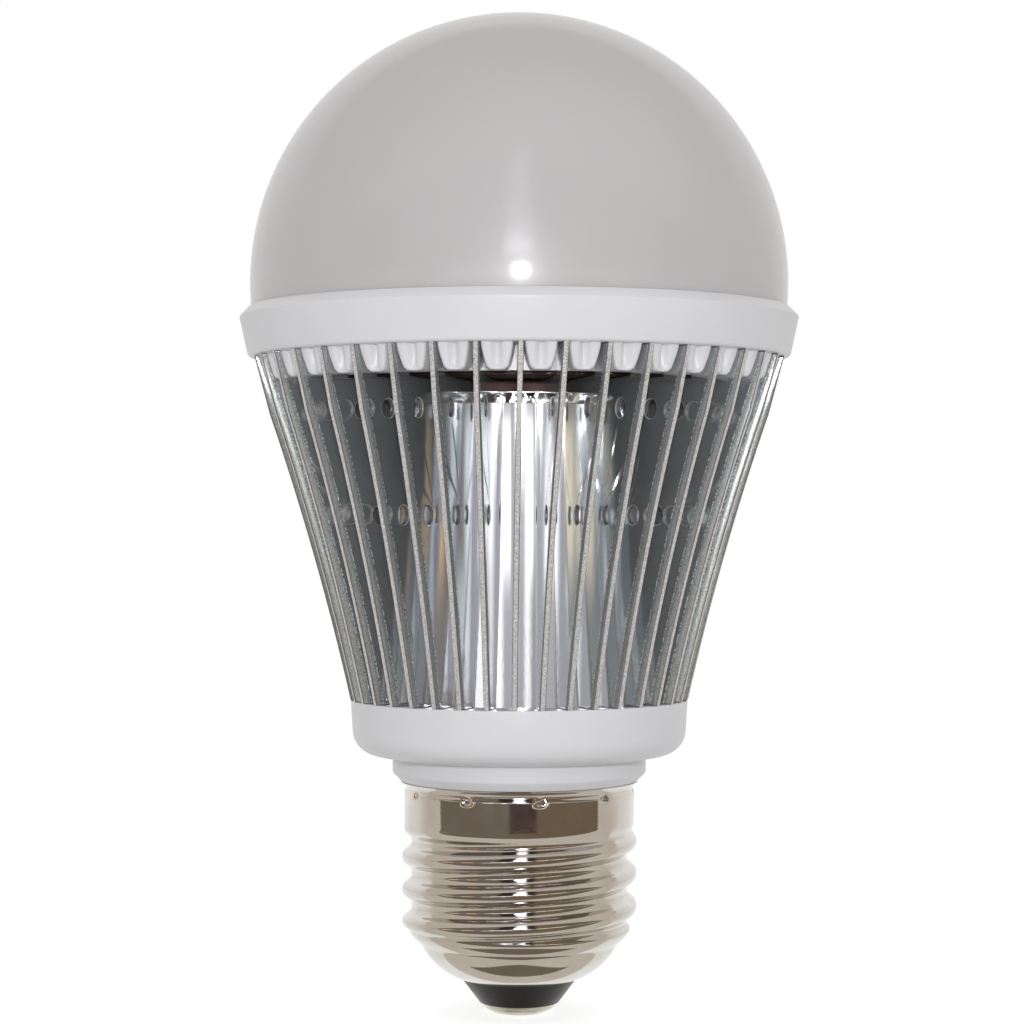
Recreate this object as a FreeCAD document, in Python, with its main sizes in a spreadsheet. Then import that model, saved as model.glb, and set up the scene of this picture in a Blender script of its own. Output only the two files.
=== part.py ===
# LED lamp with a screw cap: an opal globe, a white comb ring, forty sheet fins on a
# turned core, a moulded driver housing, a rolled E27 cap and the driver inside.
# Frame: +Z up along the lamp's axis, origin at the tip of the centre contact, millimetres.
# The front of the lamp looks along -Y.
import FreeCAD, Part
import math
import os
import Sketcher

Vector = FreeCAD.Vector
Rotation = FreeCAD.Rotation
UP = Vector(0, 0, 1)

# The driving sizes, in the order in which the lamp stacks up from its contact
SIZES = [
    ("contact_height", 1.15, "height of the contact button under the insulator"),
    ("contact_set_in", 0.3, "how far the button lies in from the insulator's foot"),
    ("contact_round_width", 1.5, "width of the rounding round the button's flat tip"),
    ("contact_rivet_radius", 1.5, "radius of the button's rivet"),
    ("insulator_height", 2.7, "visible height of the black insulator"),
    ("insulator_slope", 2.05, "how far the insulator draws in towards the button"),
    ("bowl_width", 4.55, "how far the insulator lies in from the bowl's top"),
    ("flange_overhang", 1.75, "how far the flange stands out over the shell's hole"),
    ("insulator_flange_height", 1.2, "thickness of that flange"),
    ("flange_lift", 1.35, "height of the flange above the shell's hole"),
    ("bowl_height", 3.95, "height of the shell's rounded bottom"),
    ("bowl_step", 1.54, "how far the bowl's top lies in from the thread's mean"),
    ("bowl_round_radius", 7.6, "radius of the bowl's curve"),
    ("thread_height", 13.5, "height of the threaded band of the shell"),
    ("thread_mid_radius", 12.54, "mean radius of the rolled thread"),
    ("thread_depth", 0.55, "half of the difference between crest and root radius"),
    ("thread_pitch", 3.629, "pitch of the E27 thread"),
    ("thread_phase_height", 19.2, "height of a crest on the +X side"),
    ("thread_lead_in", 2.3, "height over which the thread grows from the bowl"),
    ("thread_run_out", 2.2, "height over which it fades into the skirt"),
    ("skirt_swell", 0.26, "how far the skirt stands out from the thread's mean"),
    ("skirt_height", 3.8, "height of the skirt"),
    ("skirt_waist", 0.15, "how far the skirt draws in under its lip"),
    ("lip_height", 0.7, "height of the flared lip"),
    ("lip_flare", 0.4, "how far the lip flares out from the skirt"),
    ("shell_wall", 0.3, "thickness of the shell's sheet"),
    ("dimple_radius", 0.75, "radius of the punch that makes the stakes"),
    ("dimple_depth", 0.2, "depth of each stake"),
    ("dimple_drop", 1.2, "distance of the stakes below the lip's edge"),
    ("dimple_turn", 10.0, "angle of the first stake from the front"),
    ("neck_height", 2.8, "height of the housing's neck"),
    ("neck_overhang", 0.9, "how far the neck stands out over the lip"),
    ("neck_chamfer", 1.0, "chamfer at the foot of the neck"),
    ("collar_height", 6.25, "height of the collar"),
    ("collar_step", 0.05, "how far the fins' feet stand out over the collar"),
    ("collar_draft", 0.35, "how much the collar draws in towards its corner"),
    ("collar_corner", 3.0, "radius of the collar's soft lower corner"),
    ("collar_underside_rise", 0.5, "rise of the collar's underside from the neck"),
    ("sleeve_radius", 14.4, "outer radius of the sleeve inside the core"),
    ("sleeve_wall", 1.5, "wall of the sleeve"),
    ("socket_gap", 0.19, "clearance of the housing inside the thread's roots"),
    ("socket_wall", 1.3, "wall of that stretch"),
    ("socket_reach", 16.2, "how far the housing reaches down into the shell"),
    ("core_wall", 2.0, "wall of the core"),
    ("core_gap", 0.1, "clearance of the sleeve in the core"),
    ("core_flare", 2.0, "radius of the flare under the plate"),
    ("plate_thickness", 3.0, "thickness of the plate that carries the board"),
    ("plate_gap", 0.1, "clearance of the plate in the comb ring"),
    ("fin_count", 40, "number of fins"),
    ("fin_thickness", 0.6, "thickness of the fin sheet"),
    ("fin_height", 37.95, "height of a fin"),
    ("fin_root_depth", 0.8, "depth of the slots that hold the fins"),
    ("fin_foot_width", 2.3, "width of a fin outside the core, at the collar"),
    ("fin_shoulder_set_in", 1.69, "how far a fin's shoulder lies in from its top"),
    ("fin_shoulder_drop", 6.4, "height of that place below the fin's top"),
    ("fin_top_set_in", 0.63, "how far a fin's top lies in from the ring's foot"),
    ("fin_hollow_radius", 300.0, "radius of the hollow outer edge"),
    ("fin_hole_radius", 1.0, "radius of the air holes"),
    ("high_hole_set_in", 4.15, "distance of the upper hole from the fin's shoulder"),
    ("high_hole_drop", 6.4, "height of the upper hole below the fin's top"),
    ("low_hole_set_in", 1.225, "how far the lower hole lies in from the fin's middle"),
    ("low_hole_drop", 17.5, "height of the lower hole below the fin's top"),
    ("tooth_length", 3.1, "length of a tooth outside the comb's back wall"),
    ("comb_wall", 1.5, "thickness of that wall"),
    ("comb_wall_depth", 2.75, "depth of that wall below the ring"),
    ("comb_gap", 0.05, "clearance between the fins and the comb"),
    ("plate_drop", 3.2, "height of the plate's underside below the ring"),
    ("tooth_set_in", 0.84, "how far the teeth lie in from the fins' tops"),
    ("tooth_depth", 2.8, "height of the teeth"),
    ("tooth_width", 3.3, "width of a tooth at the ring"),
    ("tooth_straight", 1.0, "height of the straight top of a tooth's sides"),
    ("tooth_hip_width", 2.4, "width of a tooth where its lower corners begin"),
    ("tooth_hip_rise", 0.45, "height of those corners above the tooth's end"),
    ("tooth_tip_width", 1.6, "width of the flat end of a tooth"),
    ("flute_width", 1.5, "width of the flute in each tooth, at its mouth"),
    ("flute_floor_width", 0.9, "width of the flute's floor"),
    ("flute_depth", 0.7, "depth of the flute"),
    ("flute_foot", 0.35, "height left under the flute"),
    ("ring_foot_set_in", 0.96, "how far the ring's foot lies in from its brim"),
    ("ring_foot_round", 0.5, "rounding of that edge"),
    ("ring_brim_overhang", 1.18, "how far the brim stands out from the globe"),
    ("ring_brim_rise", 4.4, "height of the brim above the ring's underside"),
    ("ring_top_rise", 1.2, "height of the ring's bevel above the brim"),
    ("ring_seat_depth", 2.2, "depth of the globe's seat below the ring's top"),
    ("ring_seat_width", 2.64, "width of that seat"),
    ("ring_shelf_rise", 2.1, "height of the inner shelf above the underside"),
    ("ring_lip_width", 2.0, "width of the lip that lies on the plate"),
    ("globe_radius", 29.85, "outer radius of the globe"),
    ("globe_rise", 2.6, "height of the globe's centre above the ring's top"),
    ("globe_wall", 2.0, "wall of the globe"),
    ("globe_gap", 0.1, "clearance of the globe in the ring"),
    ("board_gap", 0.5, "clearance of the light board in the ring's lip"),
    ("board_thickness", 1.6, "thickness of the light board"),
    ("chip_width", 3.5, "width of a light chip"),
    ("chip_height", 0.9, "height of a light chip"),
    ("chip_lens_radius", 1.4, "radius of the lens on a chip"),
    ("chip_lens_height", 0.5, "height of that lens"),
    ("chip_set_in", 7.0, "how far the ring of chips lies in from the screws"),
    ("board_screw_set_in", 4.0, "distance of the board's screws from its edge"),
    ("board_screw_radius", 1.25, "shank radius of those screws"),
    ("board_screw_head", 2.3, "head radius of those screws"),
    ("board_screw_bite", 2.4, "how deep they go into the plate"),
    ("boss_set_in", 2.3, "distance of the screw bosses from the sleeve's wall"),
    ("housing_screw_radius", 1.2, "shank radius of those screws"),
    ("housing_screw_head", 2.6, "head radius of those screws"),
    ("housing_screw_length", 10.0, "length of those screws under the head"),
    ("screw_head_height", 1.6, "height of the screw heads"),
    ("screw_gap", 0.05, "clearance around the screws"),
    ("boss_radius", 2.6, "radius of the screw bosses in the sleeve"),
    ("boss_length", 9.5, "length of those bosses"),
    ("lid_thickness", 2.2, "thickness of the insulating lid"),
    ("driver_thickness", 1.2, "thickness of the driver board"),
    ("driver_edge_gap", 0.6, "clearance of the driver board in the sleeve"),
    ("driver_top_gap", 1.4, "height of the lid above the driver board"),
    ("driver_foot_rise", 3.4, "height of the driver board above the housing's foot"),
    ("rail_depth", 1.8, "how far the rails stand in from the sleeve's wall"),
    ("rail_thickness", 1.0, "thickness of a rail"),
    ("rail_gap", 0.1, "clearance of the driver board between its rails"),
    ("transformer_width", 13.0, "width of the transformer"),
    ("transformer_gap", 1.0, "clearance of the transformer in the sleeve"),
    ("transformer_height", 13.0, "height of the transformer"),
    ("transformer_core", 2.6, "thickness of the transformer's core limbs"),
    ("input_can_gap", 2.5, "clearance of the input capacitor in the sleeve"),
    ("input_can_height", 16.0, "height of the input capacitor"),
    ("output_can_gap", 1.6, "clearance of the output capacitor in the socket"),
    ("output_can_height", 11.5, "height of the output capacitor"),
    ("rectifier_width", 6.4, "width of the rectifier"),
    ("rectifier_depth", 2.6, "depth of the rectifier from the board"),
    ("rectifier_height", 5.0, "height of the rectifier"),
    ("fuse_radius", 1.6, "radius of the fusible resistor"),
    ("fuse_length", 8.0, "length of the fusible resistor"),
    ("wire_radius", 0.6, "radius of the insulated wires"),
    ("wire_gap", 0.3, "clearance around the wires"),
    ("wire_spread", 5.0, "distance of the wires to the light board from the axis"),
    ("shell_wire_set_in", 2.7, "distance of the shell's wire from the socket's wall"),
    ("shell_wire_bend", 1.5, "bend radius of the shell's wire"),
    ("shell_wire_drop", 1.0, "height of the shell's wire below the housing's foot"),
]


class Size:
    """A length held as the expression that drives a feature and as its value."""

    def __init__(self, text, value):
        self.text = text
        self.value = value

    def __add__(self, other):
        other = as_size(other)
        return Size(f"({self.text} + {other.text})", self.value + other.value)

    def __sub__(self, other):
        other = as_size(other)
        return Size(f"({self.text} - {other.text})", self.value - other.value)

    def __mul__(self, factor):
        return Size(f"({self.text} * {factor})", self.value * factor)

    def __truediv__(self, factor):
        return Size(f"({self.text} / {factor})", self.value / factor)

    def __neg__(self):
        return Size(f"(0 - {self.text})", -self.value)


def as_size(number):
    return number if isinstance(number, Size) else Size(str(number), number)


class Sheet:
    """The spreadsheet of driving sizes, read as attributes."""

    def __init__(self, document, rows):
        sheet = document.addObject("Spreadsheet::Sheet", "sizes")
        for row, (name, value, meaning) in enumerate(rows, start=1):
            sheet.set(f"A{row}", name)
            sheet.set(f"B{row}", str(value))
            sheet.set(f"C{row}", meaning)
            sheet.setAlias(f"B{row}", name)
            setattr(self, name, Size(f"sizes.{name}", value))


doc = FreeCAD.newDocument("lamp")
s = Sheet(doc, SIZES)
doc.recompute()

# Levels of the stack, from the tip of the contact upwards
hole_level = s.contact_height + s.insulator_height
thread_foot = hole_level + s.bowl_height
thread_top = thread_foot + s.thread_height
waist_level = thread_top + s.skirt_height
lip_level = waist_level + s.lip_height
neck_top = lip_level + s.neck_height
collar_top = neck_top + s.collar_height
ring_foot = collar_top + s.fin_height
plate_foot = ring_foot - s.plate_drop
plate_top = plate_foot + s.plate_thickness
board_top = plate_top + s.board_thickness
brim_level = ring_foot + s.ring_brim_rise
ring_top = brim_level + s.ring_top_rise
globe_seat = ring_top - s.ring_seat_depth
globe_centre = ring_top + s.globe_rise
sleeve_top = plate_foot - s.lid_thickness
socket_foot = lip_level - s.socket_reach
driver_top = sleeve_top - s.driver_top_gap
driver_foot = socket_foot + s.driver_foot_rise
driver_face = s.driver_thickness / 2


def origin_plane(body, role):
    return next(o for o in body.Origin.OriginFeatures if o.Role == role)


def new_body(name):
    body = doc.addObject("PartDesign::Body", name)
    body.Label = name
    return body


def new_sketch(body, name, role, height=None):
    """A sketch on one of its body's own planes, raised along the normal by height."""
    sketch = body.newObject("Sketcher::SketchObject", name)
    sketch.AttachmentSupport = [(origin_plane(body, role), "")]
    sketch.MapMode = "FlatFace"
    if height is not None:
        sketch.AttachmentOffset = FreeCAD.Placement(Vector(0, 0, height.value), Rotation())
        sketch.setExpression("AttachmentOffset.Base.z", height.text)
    return sketch


def locate(sketch, geometry, corner, across, along):
    """Ties a corner of a sketch's geometry to sheet values in both directions."""
    for kind, axis, size in (("DistanceX", -2, across), ("DistanceY", -1, along)):
        if abs(size.value) < 1e-9:
            sketch.addConstraint(Sketcher.Constraint("PointOnObject", geometry, corner, axis))
        else:
            index = sketch.addConstraint(
                Sketcher.Constraint(kind, -1, 1, geometry, corner, size.value))
            sketch.setExpression(f"Constraints[{index}]", size.text)


def arc_middle(start, end, radius, bulge):
    """The point halfway along the arc; bulge is +1 to the left of start to end, or -1."""
    chord = end - start
    half = chord.Length / 2
    sagitta = radius - math.sqrt(max(radius * radius - half * half, 0.0))
    left = Vector(-chord.y, chord.x, 0).normalize()
    return (start + end) * 0.5 + left * (bulge * sagitta)


def draw_outline(sketch, points):
    """A closed outline. Each point is (across, along) or (across, along, radius, bulge),
    where the last two make an arc of the stretch to the next point."""
    points = [(as_size(p[0]), as_size(p[1])) + tuple(p[2:]) for p in points]
    places = [Vector(p[0].value, p[1].value, 0) for p in points]
    stretches = []
    for i, point in enumerate(points):
        start, end = places[i], places[(i + 1) % len(points)]
        if len(point) == 4:
            radius, bulge = as_size(point[2]), point[3]
            curve = Part.Arc(start, arc_middle(start, end, radius.value, bulge), end)
        else:
            radius, curve = None, Part.LineSegment(start, end)
        index = sketch.addGeometry(curve, False)
        near = (sketch.getPoint(index, 1) - start).Length
        first = 1 if near < (sketch.getPoint(index, 2) - start).Length else 2
        stretches.append((index, first, 3 - first))
        if radius is not None:
            number = sketch.addConstraint(Sketcher.Constraint("Radius", index, radius.value))
            sketch.setExpression(f"Constraints[{number}]", radius.text)
    for i, (index, first, last) in enumerate(stretches):
        after = stretches[(i + 1) % len(stretches)]
        sketch.addConstraint(Sketcher.Constraint("Coincident", index, last, after[0], after[1]))
        locate(sketch, index, first, points[i][0], points[i][1])


def draw_circle(sketch, across, along, radius):
    across, along, radius = as_size(across), as_size(along), as_size(radius)
    centre = Vector(across.value, along.value, 0)
    index = sketch.addGeometry(Part.Circle(centre, Vector(0, 0, 1), radius.value), False)
    number = sketch.addConstraint(Sketcher.Constraint("Radius", index, radius.value))
    sketch.setExpression(f"Constraints[{number}]", radius.text)
    locate(sketch, index, 3, across, along)


def draw_box(sketch, left, right, low, high):
    draw_outline(sketch, [(left, low), (right, low), (right, high), (left, high)])


def revolve(body, name, points):
    """A solid of revolution about the lamp's axis, from half of its section."""
    sketch = new_sketch(body, name + "_section", "XZ_Plane")
    draw_outline(sketch, points)
    feature = body.newObject("PartDesign::Revolution", name)
    feature.Profile = sketch
    feature.ReferenceAxis = (origin_plane(body, "Z_Axis"), [""])
    feature.Angle = 360
    sketch.Visibility = False
    return feature


def raise_pad(body, name, sketch, length):
    feature = body.newObject("PartDesign::Pad", name)
    feature.Profile = sketch
    feature.setExpression("Length", length.text)
    return feature


def sink_pocket(body, name, sketch, depth):
    feature = body.newObject("PartDesign::Pocket", name)
    feature.Profile = sketch
    feature.setExpression("Length", depth.text)
    return feature


def repeat_round(body, name, features, count):
    """Turns copies of features about the lamp's axis."""
    pattern = body.newObject("PartDesign::PolarPattern", name)
    pattern.Originals = features
    pattern.Axis = (origin_plane(body, "Z_Axis"), [""])
    pattern.Angle = 360
    pattern.setExpression("Occurrences", count.text)
    body.Tip = pattern
    return pattern


def leg(slope, side):
    """The other leg of a right triangle."""
    value = math.sqrt(slope.value ** 2 - side.value ** 2)
    return Size(f"sqrt({slope.text} ^ 2 - {side.text} ^ 2)", value)


def least(first, second):
    """The smaller of two lengths."""
    text = f"min({first.text}; {second.text})"
    return Size(text, min(first.value, second.value))


def around(circle, degrees):
    """A place on a circle about the axis, as its two coordinates."""
    turn = math.radians(degrees)
    return circle * round(math.cos(turn), 9), circle * round(math.sin(turn), 9)


def place(feature, across, depth, level):
    for axis, size in zip("xyz", (across, depth, level)):
        feature.setExpression(f"Placement.Base.{axis}", as_size(size).text)
    return feature


def cylinder(name, radius, height, across, depth, level):
    feature = doc.addObject("Part::Cylinder", name)
    feature.setExpression("Radius", radius.text)
    feature.setExpression("Height", height.text)
    return place(feature, across, depth, level)


def block(name, width, thickness, height, across, depth, level):
    """A box given by the middle of its foot."""
    feature = doc.addObject("Part::Box", name)
    feature.setExpression("Length", width.text)
    feature.setExpression("Width", thickness.text)
    feature.setExpression("Height", height.text)
    return place(feature, as_size(across) - width / 2, as_size(depth) - thickness / 2, level)


def joined(name, features):
    feature = doc.addObject("Part::MultiFuse", name)
    feature.Shapes = features
    return feature


def group(name, features):
    """Like pieces that share a node, each a solid of its own."""
    feature = doc.addObject("Part::Compound", name)
    feature.Links = features
    feature.Label = name
    return feature


# Radii of the cap and the housing, each from the piece that it fits
bowl_top_radius = s.thread_mid_radius - s.bowl_step
insulator_radius = bowl_top_radius - s.bowl_width
insulator_foot_radius = insulator_radius - s.insulator_slope
flange_radius = insulator_radius + s.flange_overhang
contact_radius = insulator_foot_radius - s.contact_set_in
contact_flat_radius = contact_radius - s.contact_round_width
skirt_radius = s.thread_mid_radius + s.skirt_swell
lip_radius = skirt_radius + s.lip_flare
neck_radius = lip_radius + s.neck_overhang
socket_radius = s.thread_mid_radius - s.thread_depth - s.shell_wall - s.socket_gap
socket_bore = socket_radius - s.socket_wall
sleeve_bore = s.sleeve_radius - s.sleeve_wall
core_bore = s.sleeve_radius + s.core_gap
core_radius = core_bore + s.core_wall
fin_root = core_radius - s.fin_root_depth
fin_foot_radius = core_radius + s.fin_foot_width
collar_radius = fin_foot_radius - s.collar_step

# Radii of the ring, the fins' tops and the plate, from the globe inwards
brim_radius = s.globe_radius + s.ring_brim_overhang
ring_foot_radius = brim_radius - s.ring_foot_set_in
fin_top_radius = ring_foot_radius - s.fin_top_set_in
fin_shoulder_radius = fin_top_radius - s.fin_shoulder_set_in
tooth_reach = fin_top_radius - s.tooth_set_in
comb_wall_radius = tooth_reach - s.tooth_length
comb_bore = comb_wall_radius - s.comb_wall
plate_radius = comb_bore - s.plate_gap
ring_lip_radius = comb_bore - s.ring_lip_width
board_radius = ring_lip_radius - s.board_gap
board_screw_circle = board_radius - s.board_screw_set_in
chip_circle = board_screw_circle - s.chip_set_in
high_hole_reach = fin_shoulder_radius - s.high_hole_set_in
low_hole_reach = (core_radius + fin_shoulder_radius) / 2 - s.low_hole_set_in
core_flare = least(s.core_flare, plate_radius - core_radius - s.plate_gap)

# What several pieces inside share
housing_screw_circle = sleeve_bore - s.boss_set_in
shell_wire_reach = socket_bore - s.shell_wire_set_in
wire_hole = s.wire_radius + s.wire_gap
corner_level = collar_top - (s.collar_height - s.collar_corner - s.collar_underside_rise)
shell_hole = insulator_radius + s.screw_gap
BOARD_SCREW_ANGLES = (0, 120, 240)
HOUSING_SCREW_ANGLES = (90, 270)
WIRE_ANGLES = (0, 180)


def make_contact():
    """The centre contact: a flat-tipped button with a rivet through the insulator."""
    body = new_body("centre_contact")
    rivet = s.contact_rivet_radius - s.screw_gap
    rivet_top = hole_level + s.flange_lift + s.insulator_flange_height + s.wire_gap
    revolve(body, "button", [
        (0, 0), (contact_flat_radius, 0, s.contact_height * 2.2, -1),
        (contact_radius, s.contact_height), (rivet, s.contact_height),
        (rivet, rivet_top), (0, rivet_top)])
    return body


def make_insulator():
    """The black insulator: a cone below the shell's hole and a flange above it."""
    body = new_body("cap_insulator")
    flange_foot = hole_level + s.flange_lift
    flange_top = flange_foot + s.insulator_flange_height
    revolve(body, "cone", [
        (s.contact_rivet_radius, s.contact_height),
        (insulator_foot_radius, s.contact_height),
        (insulator_radius, hole_level), (insulator_radius, flange_foot),
        (flange_radius, flange_foot), (flange_radius, flange_top),
        (s.contact_rivet_radius, flange_top)])
    return body


def ease(share):
    """A smooth step from 0 to 1."""
    share = min(max(share, 0.0), 1.0)
    return share * share * (3 - 2 * share)


def thread_form(level):
    """The thread's mean radius at one level, and how far its crest stands out from that."""
    start = min((level - thread_foot.value) / s.thread_lead_in.value, 1.0)
    grown = 1 - (1 - start) ** 2
    fading = ease((thread_top.value - level) / s.thread_run_out.value)
    mean = s.thread_mid_radius.value
    mean -= (mean - bowl_top_radius.value) * (1 - grown)
    mean += (skirt_radius.value - s.thread_mid_radius.value) * (1 - fading)
    return mean, s.thread_depth.value * min(grown, fading)


def thread_circle(level, inset):
    """The shell's section at one level of the thread: a circle whose centre travels on a
    small helix, so that its wall swings out and in once for each pitch."""
    mean, throw = thread_form(level)
    turn = math.tau * (level - s.thread_phase_height.value) / s.thread_pitch.value
    centre = Vector(throw * math.cos(turn), throw * math.sin(turn), level)
    return Part.Wire(Part.Circle(centre, UP, mean - inset).toShape())


def thread_solid(inset, foot_radius):
    """The threaded stretch as a solid of narrow bands, drawn in by inset from the outer
    surface."""
    steps_per_turn = 8
    steps = math.ceil(s.thread_height.value / s.thread_pitch.value * steps_per_turn)
    foot, height = thread_foot.value, s.thread_height.value
    wires = [Part.Wire(Part.Circle(Vector(0, 0, foot), UP, foot_radius).toShape())]
    wires += [thread_circle(foot + height * i / steps, inset) for i in range(1, steps + 1)]
    return Part.makeLoft(wires, True, True)


def turned(points):
    """A solid of revolution from a list of points and arc edges in the XZ plane."""
    edges = []
    for i, (start, middle) in enumerate(points):
        end = points[(i + 1) % len(points)][0]
        if middle is None:
            edges.append(Part.makeLine(start, end))
        else:
            edges.append(Part.Arc(start, middle, end).toShape())
    return Part.Face(Part.Wire(edges)).revolve(Vector(0, 0, 0), UP, 360)


def shell_blank(inset):
    """The shell filled in, its surface drawn in by inset."""
    low = Vector(shell_hole.value, 0, hole_level.value)
    high = Vector(bowl_top_radius.value, 0, thread_foot.value)
    chord = high - low
    span = math.sqrt(s.bowl_round_radius.value ** 2 - (chord.Length / 2) ** 2)
    centre = (low + high) * 0.5 + Vector(-chord.z, 0, chord.x).normalize() * span
    round_radius = s.bowl_round_radius.value - inset

    def on_bowl(across):
        return Vector(across, 0, centre.z - math.sqrt(round_radius ** 2 - (across - centre.x) ** 2))

    foot_rise = thread_foot.value - centre.z
    foot_radius = centre.x + math.sqrt(round_radius ** 2 - foot_rise ** 2)
    start, end = on_bowl(low.x), Vector(foot_radius, 0, thread_foot.value)
    middle = on_bowl((low.x + foot_radius) / 2)
    bowl = turned([(Vector(0, 0, start.z), None), (start, middle), (end, None),
                   (Vector(0, 0, end.z), None)])

    skirt = skirt_radius.value - inset
    waist_start = waist_level.value - s.dimple_drop.value
    lip = lip_radius.value - inset
    levels = [(0, thread_top.value), (skirt, thread_top.value), (skirt, waist_start),
              (skirt - s.skirt_waist.value, waist_level.value), (lip, lip_level.value),
              (0, lip_level.value)]
    upper = turned([(Vector(r, 0, level), None) for r, level in levels])
    return bowl.fuse([thread_solid(inset, foot_radius), upper])


def make_shell():
    """The screw shell: one thin sheet with a rolled thread, a flared lip and a row of
    stakes that hold it on the housing."""
    shell = shell_blank(0.0).cut(shell_blank(s.shell_wall.value))
    hole = Part.makeCylinder(shell_hole.value, thread_foot.value, Vector(0, 0, 0))
    shell = shell.cut(hole)
    stakes = []
    stake_count = 10
    reach = skirt_radius.value - s.dimple_depth.value + s.dimple_radius.value
    for i in range(stake_count):
        turn = math.radians(s.dimple_turn.value - 90 + 360 / stake_count * i)
        centre = Vector(reach * math.cos(turn), reach * math.sin(turn),
                        lip_level.value - s.dimple_drop.value)
        stakes.append(Part.makeSphere(s.dimple_radius.value, centre))
    feature = doc.addObject("Part::Feature", "screw_shell")
    feature.Label = "screw_shell"
    feature.Shape = shell.cut(stakes)
    return feature


def make_housing():
    """The driver housing, moulded in one: the socket inside the shell, the neck, the
    soft-cornered collar that carries the fins and the sleeve that fills the core."""
    body = new_body("driver_housing")
    corner_reach = collar_radius - s.collar_draft
    revolve(body, "moulding", [
        (socket_bore, socket_foot), (socket_radius, socket_foot),
        (socket_radius, lip_level), (neck_radius - s.neck_chamfer, lip_level),
        (neck_radius, lip_level + s.neck_chamfer), (neck_radius, neck_top),
        (corner_reach - s.collar_corner, neck_top + s.collar_underside_rise,
         s.collar_corner, -1),
        (corner_reach, corner_level), (collar_radius, collar_top),
        (s.sleeve_radius, collar_top), (s.sleeve_radius, sleeve_top),
        (sleeve_bore, sleeve_top), (sleeve_bore, corner_level),
        (socket_bore, corner_level - (sleeve_bore - socket_bore))])
    rails = new_sketch(body, "rail_outlines", "XY_Plane", collar_top)
    near, far = driver_face + s.rail_gap, driver_face + s.rail_gap + s.rail_thickness
    inside, outside = sleeve_bore - s.rail_depth, sleeve_bore + s.sleeve_wall / 4
    draw_box(rails, inside, outside, near, far)
    draw_box(rails, inside, outside, -far, -near)
    draw_box(rails, -outside, -inside, near, far)
    draw_box(rails, -outside, -inside, -far, -near)
    raise_pad(body, "rails", rails, driver_top - collar_top)
    bosses = new_sketch(body, "boss_outlines", "XY_Plane", sleeve_top - s.boss_length)
    pilots = new_sketch(body, "pilot_outlines", "XY_Plane", sleeve_top)
    for degrees in HOUSING_SCREW_ANGLES:
        across, along = around(housing_screw_circle, degrees)
        draw_circle(bosses, across, along, s.boss_radius)
        draw_circle(pilots, across, along, s.housing_screw_radius + s.screw_gap)
    raise_pad(body, "bosses", bosses, s.boss_length)
    sink_pocket(body, "pilots", pilots, s.boss_length)
    return body


def make_lid():
    """The insulating disc between the driver and the plate."""
    body = new_body("sleeve_lid")
    outline = new_sketch(body, "lid_outline", "XY_Plane", sleeve_top)
    draw_circle(outline, 0, 0, s.sleeve_radius)
    for degrees in WIRE_ANGLES:
        draw_circle(outline, *around(s.wire_spread, degrees), wire_hole)
    for degrees in HOUSING_SCREW_ANGLES:
        across, along = around(housing_screw_circle, degrees)
        draw_circle(outline, across, along, s.housing_screw_radius + s.screw_gap * 2)
    raise_pad(body, "disc", outline, s.lid_thickness)
    return body


def make_core():
    """The core of the heat sink: a turned tube that flares into the plate, with a slot
    for the root of every fin."""
    body = new_body("sink_core")
    flare_reach = core_radius + core_flare
    revolve(body, "turning", [
        (core_bore, collar_top), (core_radius, collar_top),
        (core_radius, plate_foot - core_flare, core_flare, 1),
        (flare_reach, plate_foot), (plate_radius, plate_foot), (plate_radius, plate_top),
        (0, plate_top), (0, plate_foot), (core_bore, plate_foot)])
    slot = new_sketch(body, "slot_outline", "XY_Plane", plate_foot)
    half = s.fin_thickness / 2
    draw_box(slot, -half, half, -(flare_reach + s.fin_thickness), -fin_root)
    slots = sink_pocket(body, "slot", slot, plate_foot - collar_top)
    repeat_round(body, "slots", [slots], s.fin_count)
    holes = new_sketch(body, "plate_holes", "XY_Plane", plate_top)
    for degrees in WIRE_ANGLES:
        draw_circle(holes, *around(s.wire_spread, degrees), wire_hole)
    for degrees in HOUSING_SCREW_ANGLES:
        across, along = around(housing_screw_circle, degrees)
        draw_circle(holes, across, along, s.housing_screw_radius + s.screw_gap * 2)
    sink_pocket(body, "through_holes", holes, s.plate_thickness)
    taps = new_sketch(body, "tap_outlines", "XY_Plane", plate_top)
    for degrees in BOARD_SCREW_ANGLES:
        across, along = around(board_screw_circle, degrees)
        draw_circle(taps, across, along, s.board_screw_radius + s.screw_gap)
    sink_pocket(body, "taps", taps, s.board_screw_bite + s.wire_gap)
    seats = new_sketch(body, "head_seats", "XY_Plane", plate_top)
    for degrees in HOUSING_SCREW_ANGLES:
        across, along = around(housing_screw_circle, degrees)
        draw_circle(seats, across, along, s.housing_screw_head + s.wire_gap)
    body.Tip = sink_pocket(body, "counterbores", seats, s.screw_head_height + s.wire_gap)
    return body


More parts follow.
